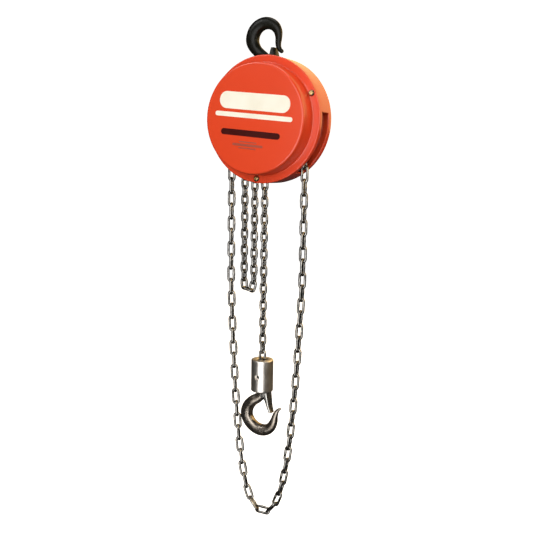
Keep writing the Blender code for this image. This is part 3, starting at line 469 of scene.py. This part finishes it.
def studio():
    """A dim world, six soft lights and a pale bowl under and round the hoist."""
    world = bpy.data.worlds.new("studio")
    bpy.context.scene.world = world
    world.use_nodes = True
    background = world.node_tree.nodes["Background"]
    background.inputs["Color"].default_value = (1.0, 1.0, 1.0, 1.0)
    background.inputs["Strength"].default_value = AMBIENT_LIGHT
    hoist = (0.0, 0.0, -0.35)
    area_light("key", (-1.5, -2.0, 1.6), hoist, (1.3, 1.3), 27.0)
    area_light("front", (0.46, -2.2, -0.5), (0.0, 0.0, -0.5), (2.0, 3.2), 64.0)
    area_light("side", (2.3, -0.8, 0.3), (0.0, 0.0, -0.3), (0.6, 1.6), 12.0, WARM_WHITE)
    area_light("back", (0.35, 2.3, 0.70), (0.2, 0.0, 0.1), (3.1, 2.3), 38.0, AMBER)
    area_light("rim", (2.5, 1.15, 0.75), (0.0, -0.1, -0.1), (1.6, 1.6), 36.0, LIGHT_AMBER)
    area_light("top", (0.2, 0.2, 2.2), hoist, (1.6, 1.6), 18.0)

    floor_z = cad_low[2] - FLOOR_GAP
    line = [(0.0, floor_z), (FLOOR_REACH, floor_z), (FLOOR_REACH, FLOOR_TOP)]
    profile = rounded(line, [0.0, FLOOR_BEND, 0.0], 16)
    sweep = lathe(
        "studio_floor", profile, (0.0, 0.0), "studio_floor", along="z", closed=False, steps=64, sharp=80.0,
    )
    sweep.visible_glossy = False
    sweep.visible_diffuse = False


MATERIALS["studio_floor"] = surface(
    "studio_floor", (0.90, 0.90, 0.90), (0.93, 0.93, 0.93), (0.75, 0.85), tint_scale=2.0,
    bumps=((30.0, 0.02, EVEN),), level=0.1,
)
floor_shader = MATERIALS["studio_floor"].node_tree.nodes["Principled BSDF"]
floor_shader.inputs["Emission Color"].default_value = (1.0, 1.0, 1.0, 1.0)
floor_shader.inputs["Emission Strength"].default_value = FLOOR_GLOW


# ---------------------------------------------------------------- pressed body

def front_cover():
    """The dished front shell with its flange and rim."""
    r = BODY_RADIUS
    outer = rounded(
        [(0.0, FACE_Y), (DOME_FACE_RADIUS, FACE_Y + 0.0002), (DOME_BASE_RADIUS, FLANGE_Y), (r, FLANGE_Y),
         (r, RIM_BACK_Y)],
        [0.0, 0.0040, 0.0022, 0.0018, 0.0], 8,
    )
    inner = rounded(
        [(r - SHEET, RIM_BACK_Y), (r - SHEET, FLANGE_Y + SHEET), (DOME_BASE_RADIUS - SHEET, FLANGE_Y + SHEET),
         (DOME_FACE_RADIUS - SHEET, FACE_Y + SHEET), (0.0, FACE_Y + SHEET)],
        [0.0, 0.0008, 0.0050, 0.0030, 0.0], 6,
    )
    cover = lathe("front_cover_skin", outer + inner, BODY_AXIS, "red_enamel", closed=False, steps=144)
    place(cover, "frame", "red_enamel", "front_cover")


def sector(start, end, low, high):
    """The outline of a ring's sector between two angles and two radii."""
    steps = 24
    turns = [start + (end - start) * step / steps for step in range(steps + 1)]
    return [body_point(high, t) for t in turns] + [body_point(low, t) for t in reversed(turns)]


def hand_wheel_cover():
    """The drum behind the front cover, with a slot at each lower side, and the three screw tabs."""
    r = BODY_RADIUS
    back = DRUM_BACK_Y
    front = RIM_BACK_Y + COVER_SEAM
    groove = 0.0016
    wall = [(r, front + (back - front) * step / 9.0) for step in range(1, 9)]
    lining = [(r - SHEET, y) for _, y in reversed(wall)]
    profile = rounded_loop(
        [(r - SHEET, front), (r, front), *wall, (r, back), (0.1000, back), (0.0960, back - groove),
         (0.0640, back - groove), (0.0600, back), (BRAKE_OPENING, back), (BRAKE_OPENING, back - SHEET),
         (0.0605, back - SHEET), (0.0645, back - SHEET - groove), (0.0955, back - SHEET - groove),
         (0.0995, back - SHEET), (r - SHEET, back - SHEET), *lining],
        [0.0007, 0.0007, *[0.0] * 8, 0.0034, 0.002, 0.002, 0.002, 0.002, 0.0010, 0.0010,
         0.002, 0.002, 0.002, 0.002, 0.0014, *[0.0] * 8], 5,
    )
    drum = lathe("drum_skin", profile, BODY_AXIS, "red_enamel", steps=144)
    tools = []
    for side, start, end in (("right", 6.0, -56.0), ("left", 174.0, 236.0)):
        outline = sector(start, end, r - 0.010, r + 0.020)
        tools.append(extrude(f"slot_{side}", outline, -0.075, SLOT_BACK_Y, "red_enamel"))
    cut(drum, *tools)
    bevel(drum, 0.0005, 2, 60.0)
    place(drum, "frame", "red_enamel", "hand_wheel_cover")

    for index, degrees in enumerate(SCREW_ANGLES):
        near = body_point(SCREW_CIRCLE - 0.0070, degrees)
        far = body_point(BODY_RADIUS - 0.0020, degrees)
        along = Vector(far) - Vector(near)
        across = Vector((-along.y, along.x)).normalized() * 0.0070
        corners = [Vector(near) - across, Vector(far) - across, Vector(far) + across, Vector(near) + across]
        outline = rounded_loop([tuple(c) for c in corners], [0.004, 0.0, 0.0, 0.004])
        tab = extrude(f"screw_tab_{index + 1}", outline, -0.0602, -0.0575, "red_enamel")
        place(bevel(tab, 0.0004, 2), "frame", "red_enamel")


def hull_outline(circles):
    """The outline of a belt round circles of (x, z, radius)."""
    sides = 96
    outline = []
    for index in range(sides):
        angle = 2.0 * math.pi * index / sides
        facing = (math.cos(angle), math.sin(angle))
        reach = [x * facing[0] + z * facing[1] + radius for x, z, radius in circles]
        x, z, radius = circles[reach.index(max(reach))]
        outline.append((x + radius * facing[0], z + radius * facing[1]))
    return outline


def housing_circles(extra):
    """The three rounds of the gear housing's outline, each widened by the same amount."""
    return [(*SHEAVE_AXIS, 0.0445 + extra), (*MIDDLE_AXIS, 0.0310 + extra), (*BODY_AXIS, 0.0140 + extra)]


def gear_housing():
    """The pressed housing on the rear plate and the raised rings over two of its shafts."""
    mouth, bottom, wall = PLATE_OUTER_Y + COVER_SEAM, HOUSING_BACK_Y, 0.0030
    line = rounded(
        [(0.0, mouth), (wall + 0.008, mouth), (wall + 0.008, mouth + 0.0035), (wall, mouth + 0.0035),
         (wall, bottom), (-0.0060, bottom), (-0.0075, bottom - 0.0012), (-0.0120, bottom - 0.0012)],
        [0.0, 0.0006, 0.0010, 0.0022, 0.0065, 0.0012, 0.0012, 0.0], 6,
    )
    loops = [[(x, y, z) for x, z in hull_outline(housing_circles(extra))] for extra, y in reversed(line)]
    loops.append([(x, bottom - wall, z) for x, z in hull_outline(housing_circles(0.0))])
    housing = skin("gear_housing_skin", loops, "red_enamel", 30.0)
    place(housing, "frame", "red_enamel", "gear_housing")
    rings = ((SHEAVE_AXIS, 0.0200), (MIDDLE_AXIS, 0.0120))
    low, high = bottom - 0.0016, bottom - 0.0002
    for index, (centre, radius) in enumerate(rings):
        inside = radius - 0.0032
        ring = rounded_loop(
            [(radius, low), (radius, high), (inside, high), (inside, low)], [0.0, 0.0011, 0.0011, 0.0], 4,
        )
        bead = lathe(f"housing_bead_{index + 1}", ring, centre, "red_enamel", steps=72)
        place(bead, "frame", "red_enamel")


def screw(name, centre, face_y, facing, head, height, drive, material, node):
    """A pan-head screw with a cross recess; facing is the head's side along Y."""
    profile = rounded(
        [(0.0, face_y + facing * height), (0.70 * head, face_y + facing * height),
         (head, face_y + facing * 0.35 * height), (head, face_y)],
        [0.0, 0.25 * head, 0.12 * head, 0.0], 5,
    ) + [(0.45 * head, face_y), (0.45 * head, face_y - facing * 0.004), (0.0, face_y - facing * 0.004)]
    piece = lathe(name, profile, centre, material, closed=False, steps=40)
    top = face_y + facing * height
    slots = []
    for index, turn in enumerate(drive):
        c, s = math.cos(math.radians(turn)), math.sin(math.radians(turn))
        long, wide = 0.62 * head, 0.12 * head
        corners = [(-long, -wide), (long, -wide), (long, wide), (-long, wide)]
        outline = [(centre[0] + c * a - s * b, centre[1] + s * a + c * b) for a, b in corners]
        low, high = sorted((top + facing * 0.002, top - facing * 0.5 * height))
        slots.append(extrude(f"{name}_slot_{index}", outline, low, high, material))
    cut(piece, *slots)
    return place(piece, "frame", material, node)


def washer(name, centre, face_y, facing, outer, inner, thick, material):
    """A flat ring whose facing edges are rounded."""
    top_y = face_y + facing * thick
    profile = rounded_loop(
        [(inner, face_y), (outer, face_y), (outer, top_y), (inner, top_y)],
        [0.0, 0.0, 0.4 * thick, 0.4 * thick], 3,
    )
    return place(lathe(name, profile, centre, material, steps=48), "frame", material)


def screws():
    """The brassy cover screws on dark washers, and the gear housing's screws."""
    for index, degrees in enumerate(SCREW_ANGLES):
        centre = body_point(SCREW_CIRCLE, degrees)
        name = f"cover_washer_{index + 1}"
        washer(name, centre, FLANGE_Y - 0.0001, -1.0, 0.0056, 0.0025, 0.0008, "black_steel")
        screw(f"cover_screw_head_{index + 1}", centre, FLANGE_Y - 0.0009, -1.0, 0.0046, 0.0030,
              (20.0 + 37.0 * index, 110.0 + 37.0 * index), "brass_screw", f"cover_screw_{index + 1}")
    for index in range(3):
        low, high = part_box(f"housing_screw_{index + 1}")
        centre = (0.5 * (low.x + high.x), 0.5 * (low.z + high.z))
        screw(f"housing_screw_head_{index + 1}", centre, high.y - 0.0028, 1.0, 0.0036, 0.0028,
              (15.0 + 50.0 * index, 105.0 + 50.0 * index), "pin_steel", f"housing_screw_{index + 1}")


def turned_bar(points, centre, angle):
    """Points turned about the origin by degrees and moved to a centre."""
    c, s = math.cos(math.radians(angle)), math.sin(math.radians(angle))
    return [(centre[0] + c * x - s * z, centre[1] + s * x + c * z) for x, z in points]


def printed_marks():
    """Plain round-ended stripes in place of any lettering."""
    front, back = FACE_Y - PRINT_PROUD, FACE_Y + PRINT_DEPTH
    bars = (
        ("cover_stripe_wide", -0.0720, 0.0700, 0.0290, 0.0150, "cream_print"),
        ("cover_stripe_thin", -0.0790, 0.0770, 0.0040, 0.0042, "cream_print"),
        ("cover_bar", -0.0640, 0.0560, -0.0270, 0.0055, "dark_print"),
        ("cover_line_1", -0.0250, 0.0110, -0.0425, 0.0010, "faint_print"),
        ("cover_line_2", -0.0380, 0.0240, -0.0480, 0.0022, "faint_print"),
        ("cover_line_3", -0.0250, 0.0110, -0.0535, 0.0010, "faint_print"),
    )
    for name, left, right, height, half, material in bars:
        low, high = height - half, height + half
        corners = [(left, low), (right, low), (right, high), (left, high)]
        outline = turned_bar(rounded_loop(corners, [0.98 * half] * 4, 12), BODY_AXIS, PRINT_TILT_DEGREES)
        place(extrude(name, outline, front, back, material), "frame", "red_enamel")


# ---------------------------------------------------------------- chains

def link_shape(pitch, wire, width):
    """Rows of points of one welded link, long along X and flat in XY."""
    sides, arc = 10, 8
    bend = 0.5 * (width - wire)
    straight = 0.5 * (pitch + wire) - bend
    line = []
    for sign, start in ((1.0, -90.0), (-1.0, 90.0)):
        for step in range(arc + 1):
            angle = math.radians(start + 180.0 * step / arc)
            line.append((sign * straight + bend * math.cos(angle), bend * math.sin(angle), 1.0))
        if sign > 0:
            for at, swell in ((0.45, 1.0), (0.25, 1.10), (0.0, 1.15), (-0.25, 1.10), (-0.45, 1.0)):
                line.append((at * straight, bend, swell))
    rows = []
    count = len(line)
    for index, (x, y, swell) in enumerate(line):
        before, after = line[index - 1], line[(index + 1) % count]
        heading = Vector((after[0] - before[0], after[1] - before[1], 0.0)).normalized()
        side = Vector((-heading.y, heading.x, 0.0))
        row = []
        for step in range(sides):
            angle = 2.0 * math.pi * step / sides
            reach = 0.5 * wire * swell
            point = Vector((x, y, 0.0)) + side * (reach * math.cos(angle))
            point.z = reach * math.sin(angle)
            row.append(tuple(point))
        rows.append(row)
    return np.array(rows)


def chain_piece(name, links, shape, body, node):
    """One mesh of many links. A link is (middle, direction, normal of its plane)."""
    rows, sides, _ = shape.shape
    flat = shape.reshape(-1, 3)
    pattern = []
    for row in range(rows):
        for side in range(sides):
            a, b = row * sides + side, row * sides + (side + 1) % sides
            up = ((row + 1) % rows - row) * sides
            pattern.append((a, b, b + up, a + up))
    verts, faces = [], []
    for middle, heading, normal in links:
        across = np.cross(normal, heading)
        turn = np.stack([heading, across, normal])
        base = len(verts)
        verts.extend((flat @ turn + middle).tolist())
        faces.extend(tuple(base + i for i in face) for face in pattern)
    piece = mesh_object(name, verts, faces, "chain_zinc", 60.0)
    return place(piece, body, "chain_zinc", node)


def march(path, chord, count):
    """Points a chord apart along a line, and the length left over, or -1 if the line is too short."""
    joints = [path[0]]
    here, index = path[0], 0
    for _ in range(count):
        while index < len(path) - 1 and np.linalg.norm(path[index + 1] - here) < chord:
            index += 1
        if index >= len(path) - 1:
            return joints, -1.0
        a, b = path[index], path[index + 1]
        low, high = 0.0, 1.0
        for _ in range(30):
            mid = 0.5 * (low + high)
            if np.linalg.norm(a + (b - a) * mid - here) < chord:
                low = mid
            else:
                high = mid
        here = a + (b - a) * low
        joints.append(here)
    return joints, float(np.linalg.norm(path[-1] - here) + (len(path) - 1 - index) * 1e-3)


def joints_along(path, count):
    """Joints of a run of equal links that fills a line from end to end."""
    total = float(np.linalg.norm(np.diff(path, axis=0), axis=1).sum())
    low, high = 0.90 * total / count, 1.01 * total / count
    for _ in range(40):
        chord = 0.5 * (low + high)
        _, left = march(path, chord, count)
        if left < 0.0:
            high = chord
        else:
            low = chord
    joints, _ = march(path, low, count)
    joints[-1] = path[-1]
    return joints, low


def dense(points):
    """The same line with points close together."""
    step = 0.0008
    result = []
    for a, b in zip(points, points[1:]):
        a, b = np.array(a, float), np.array(b, float)
        pieces = max(1, int(np.linalg.norm(b - a) / step))
        result.extend(a + (b - a) * i / pieces for i in range(pieces))
    result.append(np.array(points[-1], float))
    return np.array(result)


def links_between(joints, plane_first, twist=None):
    """Links from joint to joint whose planes alternate; plane_first puts the first in XZ."""
    links = []
    for index, (a, b) in enumerate(zip(joints, joints[1:])):
        heading = (b - a) / np.linalg.norm(b - a)
        side = np.cross(heading, (0.0, 1.0, 0.0))
        normal = np.array((0.0, 1.0, 0.0)) if (index % 2 == 0) == plane_first else side
        angle = twist(index) if twist else 0.0
        other = np.cross(heading, normal)
        normal = normal * math.cos(angle) + other * math.sin(angle)
        links.append((0.5 * (a + b), heading, normal))
    return links


def wheel_joints(centre, radius, plane_y, step, first, last):
    """Joints of a chain that lies in a wheel's pockets, from one angle to another."""
    result = []
    angle = first
    while angle <= last + 1e-6:
        turn = math.radians(angle)
        x, z = centre[0] + radius * math.cos(turn), centre[1] + radius * math.sin(turn)
        result.append(np.array((x, plane_y, z)))
        angle += step
    return result


def hand_chain():
    """The endless chain over the hand wheel; its sides close in towards the loop's bottom."""
    top = wheel_joints(BODY_AXIS, HAND_PITCH_RADIUS, HAND_PLANE_Y, 18.0, -9.0, 189.0)
    pitch = float(np.linalg.norm(top[1] - top[0]))
    shape = link_shape(pitch + 0.0002, HAND_WIRE, HAND_LINK_WIDTH)
    over = links_between(top, True)
    chain_piece("hand_chain_links_over_wheel", over, shape, "frame", "hand_chain_over_wheel")

    side = []
    for step in range(400):
        z = HAND_LOOP_BOTTOM + (-0.2150 - HAND_LOOP_BOTTOM) * (1.0 - step / 399.0) ** 1.6
        across = HAND_CATENARY * math.acosh(1.0 + (z - HAND_LOOP_BOTTOM) / HAND_CATENARY)
        side.append((min(across, HAND_PITCH_RADIUS), z))
    side[-1] = (0.0, HAND_LOOP_BOTTOM)
    first = top[0]
    points = [tuple(first)]
    points += [(BODY_AXIS[0] + x, HAND_PLANE_Y, z) for x, z in side]
    points += [(BODY_AXIS[0] - x, HAND_PLANE_Y, z) for x, z in reversed(side[:-1])]
    points.append((2.0 * BODY_AXIS[0] - first[0], HAND_PLANE_Y, first[2]))
    count = HAND_CHAIN_LINKS
    joints, chord = joints_along(dense(points), count)
    shape = link_shape(chord, HAND_WIRE, HAND_LINK_WIDTH)
    lean = math.radians(24.0)
    start, full = 26, 36

    def twist(index):
        """No twist on the right side, then up to the full lean, which fades up the left side."""
        if index < start:
            return 0.0
        if index < full:
            return lean * (index - start) / (full - start)
        return lean * max(0.0, (count - index) / (count - full)) ** 0.6

    links = links_between(joints, False, twist)
    right = [k for k in links[:count // 2] if k[0][2] > HAND_BOTTOM_SPLIT_Z]
    left = [k for k in links[count // 2:] if k[0][2] > HAND_BOTTOM_SPLIT_Z]
    low = [k for k in links if k[0][2] <= HAND_BOTTOM_SPLIT_Z]
    chain_piece("hand_chain_links_right", right, shape, "frame", "hand_chain_right")
    chain_piece("hand_chain_links_left", left, shape, "frame", "hand_chain_left")
    chain_piece("hand_chain_links_bottom", low, shape, "frame", "hand_chain_bottom")


def load_chain():
    """The load chain: over the sheave, the live run down to the block, and the slack loop."""
    top = wheel_joints(SHEAVE_AXIS, LOAD_PITCH_RADIUS, 0.0, 45.0, -22.5, 202.5)
    pitch = float(np.linalg.norm(top[1] - top[0]))
    over = links_between(top, False)
    shape = link_shape(pitch, LOAD_WIRE, LOAD_LINK_WIDTH)
    chain_piece("load_chain_links_over_sheave", over, shape, "frame", "load_chain_over_sheave")

    live_x = SHEAVE_AXIS[0] + LOAD_PITCH_RADIUS
    path = dense([tuple(top[0]), (live_x, 0.0, -0.2000), (live_x, 0.0, CHAIN_PIN_Z - 0.0028)])
    joints, chord = joints_along(path, LIVE_CHAIN_LINKS)
    shape = link_shape(chord, LOAD_WIRE, LOAD_LINK_WIDTH)
    chain_piece("live_chain_links", links_between(joints, True), shape, "load_block", "live_chain")

    left_x = SHEAVE_AXIS[0] - LOAD_PITCH_RADIUS
    right_x = SHEAVE_AXIS[0]
    middle, reach = 0.5 * (left_x + right_x), 0.5 * (right_x - left_x)
    turns = [math.pi * step / 40 for step in range(41)]
    bend = [(middle - reach * math.cos(t), 0.0, SLACK_LOOP_Z - reach * math.sin(t)) for t in turns]
    path = dense([tuple(top[-1]), (left_x, 0.0, -0.2000), *bend, (right_x, 0.0, -0.2170)])
    joints, chord = joints_along(path, SLACK_CHAIN_LINKS)
    shape = link_shape(chord, LOAD_WIRE, LOAD_LINK_WIDTH)
    links = links_between(joints, True)
    edge = SLACK_LOOP_Z + 0.004
    left = [k for k in links if k[0][2] > edge and k[0][0] < middle]
    right = [k for k in links if k[0][2] > edge and k[0][0] >= middle]
    low = [k for k in links if k[0][2] <= edge]
    chain_piece("slack_chain_links_left", left, shape, "slack_loop", "slack_chain_left")
    chain_piece("slack_chain_links_right", right, shape, "slack_loop", "slack_chain_right")
    chain_piece("slack_chain_links_bottom", low, shape, "slack_loop", "slack_chain_bottom")


# ---------------------------------------------------------------- hooks

def spline(rows, steps):
    """Catmull-Rom curve through rows of numbers."""
    rows = np.array(rows, float)
    result = []
    last = len(rows) - 1
    for index in range(last):
        p0, p1 = rows[max(index - 1, 0)], rows[index]
        p2, p3 = rows[index + 1], rows[min(index + 2, last)]
        for step in range(steps):
            t = step / steps
            result.append(0.5 * (2 * p1 + (p2 - p0) * t + (2 * p0 - 5 * p1 + 4 * p2 - p3) * t ** 2
                                 + (3 * p1 - p0 - 3 * p2 + p3) * t ** 3))
    result.append(rows[-1])
    return result


def forged(name, groups, material):
    """A forged bar along groups of (x, z, half in plane, half across), with a rounded tip."""
    sides, power, steps = 28, 2.25, 6
    loops = []
    for group in groups:
        line = spline(group, steps)
        for index, (x, z, half, across) in enumerate(line):
            before, after = line[max(index - 1, 0)], line[min(index + 1, len(line) - 1)]
            heading = Vector((after[0] - before[0], after[1] - before[1])).normalized()
            loops.append((Vector((x, z)), heading, half, across))
    middle, heading, half, across = loops[-1]
    for turn in (25.0, 45.0, 62.0, 76.0, 86.0):
        c, s = math.cos(math.radians(turn)), math.sin(math.radians(turn))
        loops.append((middle + heading * (half * s), heading, half * c, across * c))
    rings = []
    for middle, heading, half, across in loops:
        ring = []
        for step in range(sides):
            angle = 2.0 * math.pi * step / sides
            c, s = math.cos(angle), math.sin(angle)
            a = math.copysign(abs(c) ** (2.0 / power), c) * half
            b = math.copysign(abs(s) ** (2.0 / power), s) * across
            ring.append((middle.x - heading.y * a, b, middle.y + heading.x * a))
        rings.append(ring)
    return skin(name, rings, material, 50.0)


def upper_hook():
    """The suspension hook: a round bowl on a neck, thinning to its tip."""
    shank = [(0.0, -0.0930, 0.0080, 0.0080), (0.0, -0.0598, 0.0080, 0.0080)]
    bowl = []
    thickness = ((180, 0.0130), (155, 0.0129), (130, 0.0124), (105, 0.0117), (80, 0.0109),
                 (55, 0.0099), (30, 0.0083), (5, 0.0066))
    for degrees, half in thickness:
        angle = math.radians(degrees)
        reach = 0.0180 + half
        x, z = 0.0005 + reach * math.cos(angle), -0.0180 + reach * math.sin(angle)
        bowl.append((x, z, half, 0.85 * half))
    hook = [
        (0.0, -0.0597, 0.0098, 0.0090), (0.0, -0.0585, 0.0098, 0.0072), (0.0, -0.0545, 0.0080, 0.0070),
        (-0.0035, -0.0500, 0.0088, 0.0070), (-0.0115, -0.0450, 0.0098, 0.0074),
        (-0.0204, -0.0380, 0.0106, 0.0095), (-0.0275, -0.0285, 0.0120, 0.0105),
        *bowl,
        (0.0243, -0.0260, 0.0056, 0.0052), (0.0251, -0.0330, 0.0049, 0.0048),
        (0.0280, -0.0385, 0.0042, 0.0042), (0.0314, -0.0414, 0.0040, 0.0040),
    ]
    piece = forged("upper_hook_forging", [shank, hook], "black_steel")
    place(piece, "upper_hook", "black_steel", "upper_hook")


def lower_hook():
    """The load hook: a nut-like head and shank in the block, a wide bowl and a flared tip."""
    head = [(0.0, -0.6835, 0.0125, 0.0125), (0.0, -0.6900, 0.0125, 0.0125)]
    shank = [(0.0, -0.6901, 0.0092, 0.0092), (0.0, -0.6980, 0.0092, 0.0092)]
    hook = [
        (-0.0002, -0.6990, 0.0093, 0.0080), (-0.0006, -0.7020, 0.0094, 0.0070),
        (-0.0020, -0.7075, 0.0094, 0.0070), (-0.0090, -0.7150, 0.0100, 0.0080),
        (-0.0200, -0.7222, 0.0108, 0.0098), (-0.0288, -0.7318, 0.0117, 0.0105),
        (-0.0335, -0.7435, 0.0123, 0.0108), (-0.0330, -0.7560, 0.0123, 0.0108),
        (-0.0252, -0.7685, 0.0121, 0.0106), (-0.0130, -0.7770, 0.0119, 0.0105),
        (0.0005, -0.7798, 0.0117, 0.0103), (0.0130, -0.7770, 0.0108, 0.0096),
        (0.0222, -0.7690, 0.0096, 0.0087), (0.0276, -0.7575, 0.0078, 0.0071),
        (0.0301, -0.7470, 0.0059, 0.0055), (0.0332, -0.7382, 0.0045, 0.0043),
        (0.0379, -0.7322, 0.0031, 0.0031), (0.0412, -0.7300, 0.0023, 0.0023),
    ]
    piece = forged("lower_hook_forging", [head, shank, hook], "hook_steel")
    place(piece, "lower_hook", "hook_steel", "lower_hook")


def coil_spring(name, centre, radius, wire, low, high, turns, body, node):
    """A torsion spring's coil along Y."""
    count = int(turns * 20)
    loops = []
    for index in range(count + 1):
        angle = 2.0 * math.pi * turns * index / count
        out = Vector((math.cos(angle), 0.0, math.sin(angle)))
        middle = Vector((centre[0], low + (high - low) * index / count, centre[1])) + out * radius
        ring = []
        for step in range(8):
            a = 2.0 * math.pi * step / 8
            point = middle + out * (wire * math.cos(a)) + Vector((0.0, wire * math.sin(a), 0.0))
            ring.append(tuple(point))
        loops.append(ring)
    return place(skin(name, loops, "pin_steel", 60.0), body, "pin_steel", node)


def springs():
    """The two latch springs and the pawl spring, each inside its CAD ring's box."""
    turns = 5
    spots = (
        ("upper_latch_coil", "upper_latch_spring", "upper_hook"),
        ("lower_latch_coil", "lower_latch_spring", "lower_hook"),
        ("pawl_coil", "pawl_spring", "frame"),
    )
    for name, node, body in spots:
        low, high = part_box(node)
        centre = (0.5 * (low.x + high.x), 0.5 * (low.z + high.z))
        wire = min(0.00032, 0.45 * (high.y - low.y) / (turns + 1))
        radius = 0.5 * (high.x - low.x) - wire
        coil_spring(name, centre, radius, wire, low.y + wire, high.y - wire, turns, body, node)


# ---------------------------------------------------------------- latches

def latch(name, rows, slot, body, node):
    """A folded channel: a web with two cheeks, tapered to a tongue at the free end."""
    sheet = 0.0015
    line = spline(rows, 8)
    loops = []
    for z, web, edge, half in line:
        inside, gap = web - sheet, half - sheet
        corners = [(edge, -half), (web, -half), (web, half), (edge, half), (edge, gap), (inside, gap),
                   (inside, -gap), (edge, -gap)]
        outline = rounded_loop(corners, [0.0005, 0.0024, 0.0024, 0.0005, 0.0005, 0.0011, 0.0011, 0.0005], 3)
        loops.append([(x, y, z) for x, y in outline])
    return place(skin(name, loops, slot, 50.0), body, slot, node)


def latches():
    """Both safety latches, as rows of (z, web x, edge x, half width)."""
    upper = [
        (-0.0565, 0.0232, -0.0030, 0.0110),
        (-0.0530, 0.0230, -0.0025, 0.0110),
        (-0.0495, 0.0226, 0.0060, 0.0108),
        (-0.0465, 0.0221, 0.0105, 0.0104),
        (-0.0410, 0.0209, 0.0118, 0.0097),
        (-0.0345, 0.0193, 0.0130, 0.0084),
    ]
    lower = [
        (-0.7000, 0.0165, 0.0020, 0.0110),
        (-0.7080, 0.0175, 0.0050, 0.0110),
        (-0.7140, 0.0185, 0.0105, 0.0105),
        (-0.7270, 0.0205, 0.0150, 0.0092),
        (-0.7400, 0.0245, 0.0195, 0.0075),
    ]
    latch("upper_latch_channel", upper, "black_steel", "upper_latch", "upper_latch")
    latch("lower_latch_channel", lower, "latch_steel", "lower_latch", "lower_latch")


def load_block():
    """The plain sleeve that joins chain and hook, with its pin in a cross hole."""
    radius, top, bottom = 0.0220, -0.6340, -0.6980
    wall = [(radius, top + (bottom - top) * step / 30.0) for step in range(2, 29)]
    profile = rounded_loop(
        [(0.0100, top), (radius, top), *wall, (radius, bottom), (0.0140, bottom), (0.0140, -0.6820),
         (0.0100, -0.6820)],
        [0.0014, 0.0022, *[0.0] * len(wall), 0.0030, 0.0008, 0.0004, 0.0004], 6,
    )
    sleeve = lathe("load_block_body", profile, (0.0, 0.0), "sleeve_steel", along="z", steps=96)
    holes = []
    turns = [2 * math.pi * step / 48 for step in range(48)]
    for name, r, low, high in (("wide", 0.0052, -0.0300, -0.0172), ("narrow", 0.0031, -0.0300, 0.0300)):
        outline = [(r * math.cos(t), CHAIN_PIN_Z + r * math.sin(t)) for t in turns]
        holes.append(extrude(f"pin_hole_{name}", outline, low, high, "sleeve_steel"))
    cut(sleeve, *holes)
    place(sleeve, "load_block", "hook_steel", "load_block_sleeve")

    profile = [(0.0, -0.0150), (0.0026, -0.0150), (0.0029, -0.0147), (0.0029, 0.0190), (0.0, 0.0190)]
    pin = lathe("chain_pin_bar", profile, (0.0, CHAIN_PIN_Z), "cast_iron", closed=False, steps=32)
    place(pin, "load_block", "pin_steel", "chain_pin")


# ---------------------------------------------------------------- CAD nodes that stay

def finish_cad_nodes():
    """Give each CAD node its slot's material."""
    for row in frame["record"]["subparts"]:
        node = frame["nodes"][row["node"]]
        material = MATERIALS[row["material_slot"]]
        if not node.material_slots:
            node.data.materials.append(material)
        for held in node.material_slots:
            held.link = "OBJECT"
            held.material = material


bpy.context.scene.view_settings.view_transform = "Standard"
camera()
studio()
finish_cad_nodes()
front_cover()
hand_wheel_cover()
gear_housing()
screws()
printed_marks()
hand_chain()
load_chain()
upper_hook()
lower_hook()
springs()
latches()
load_block()
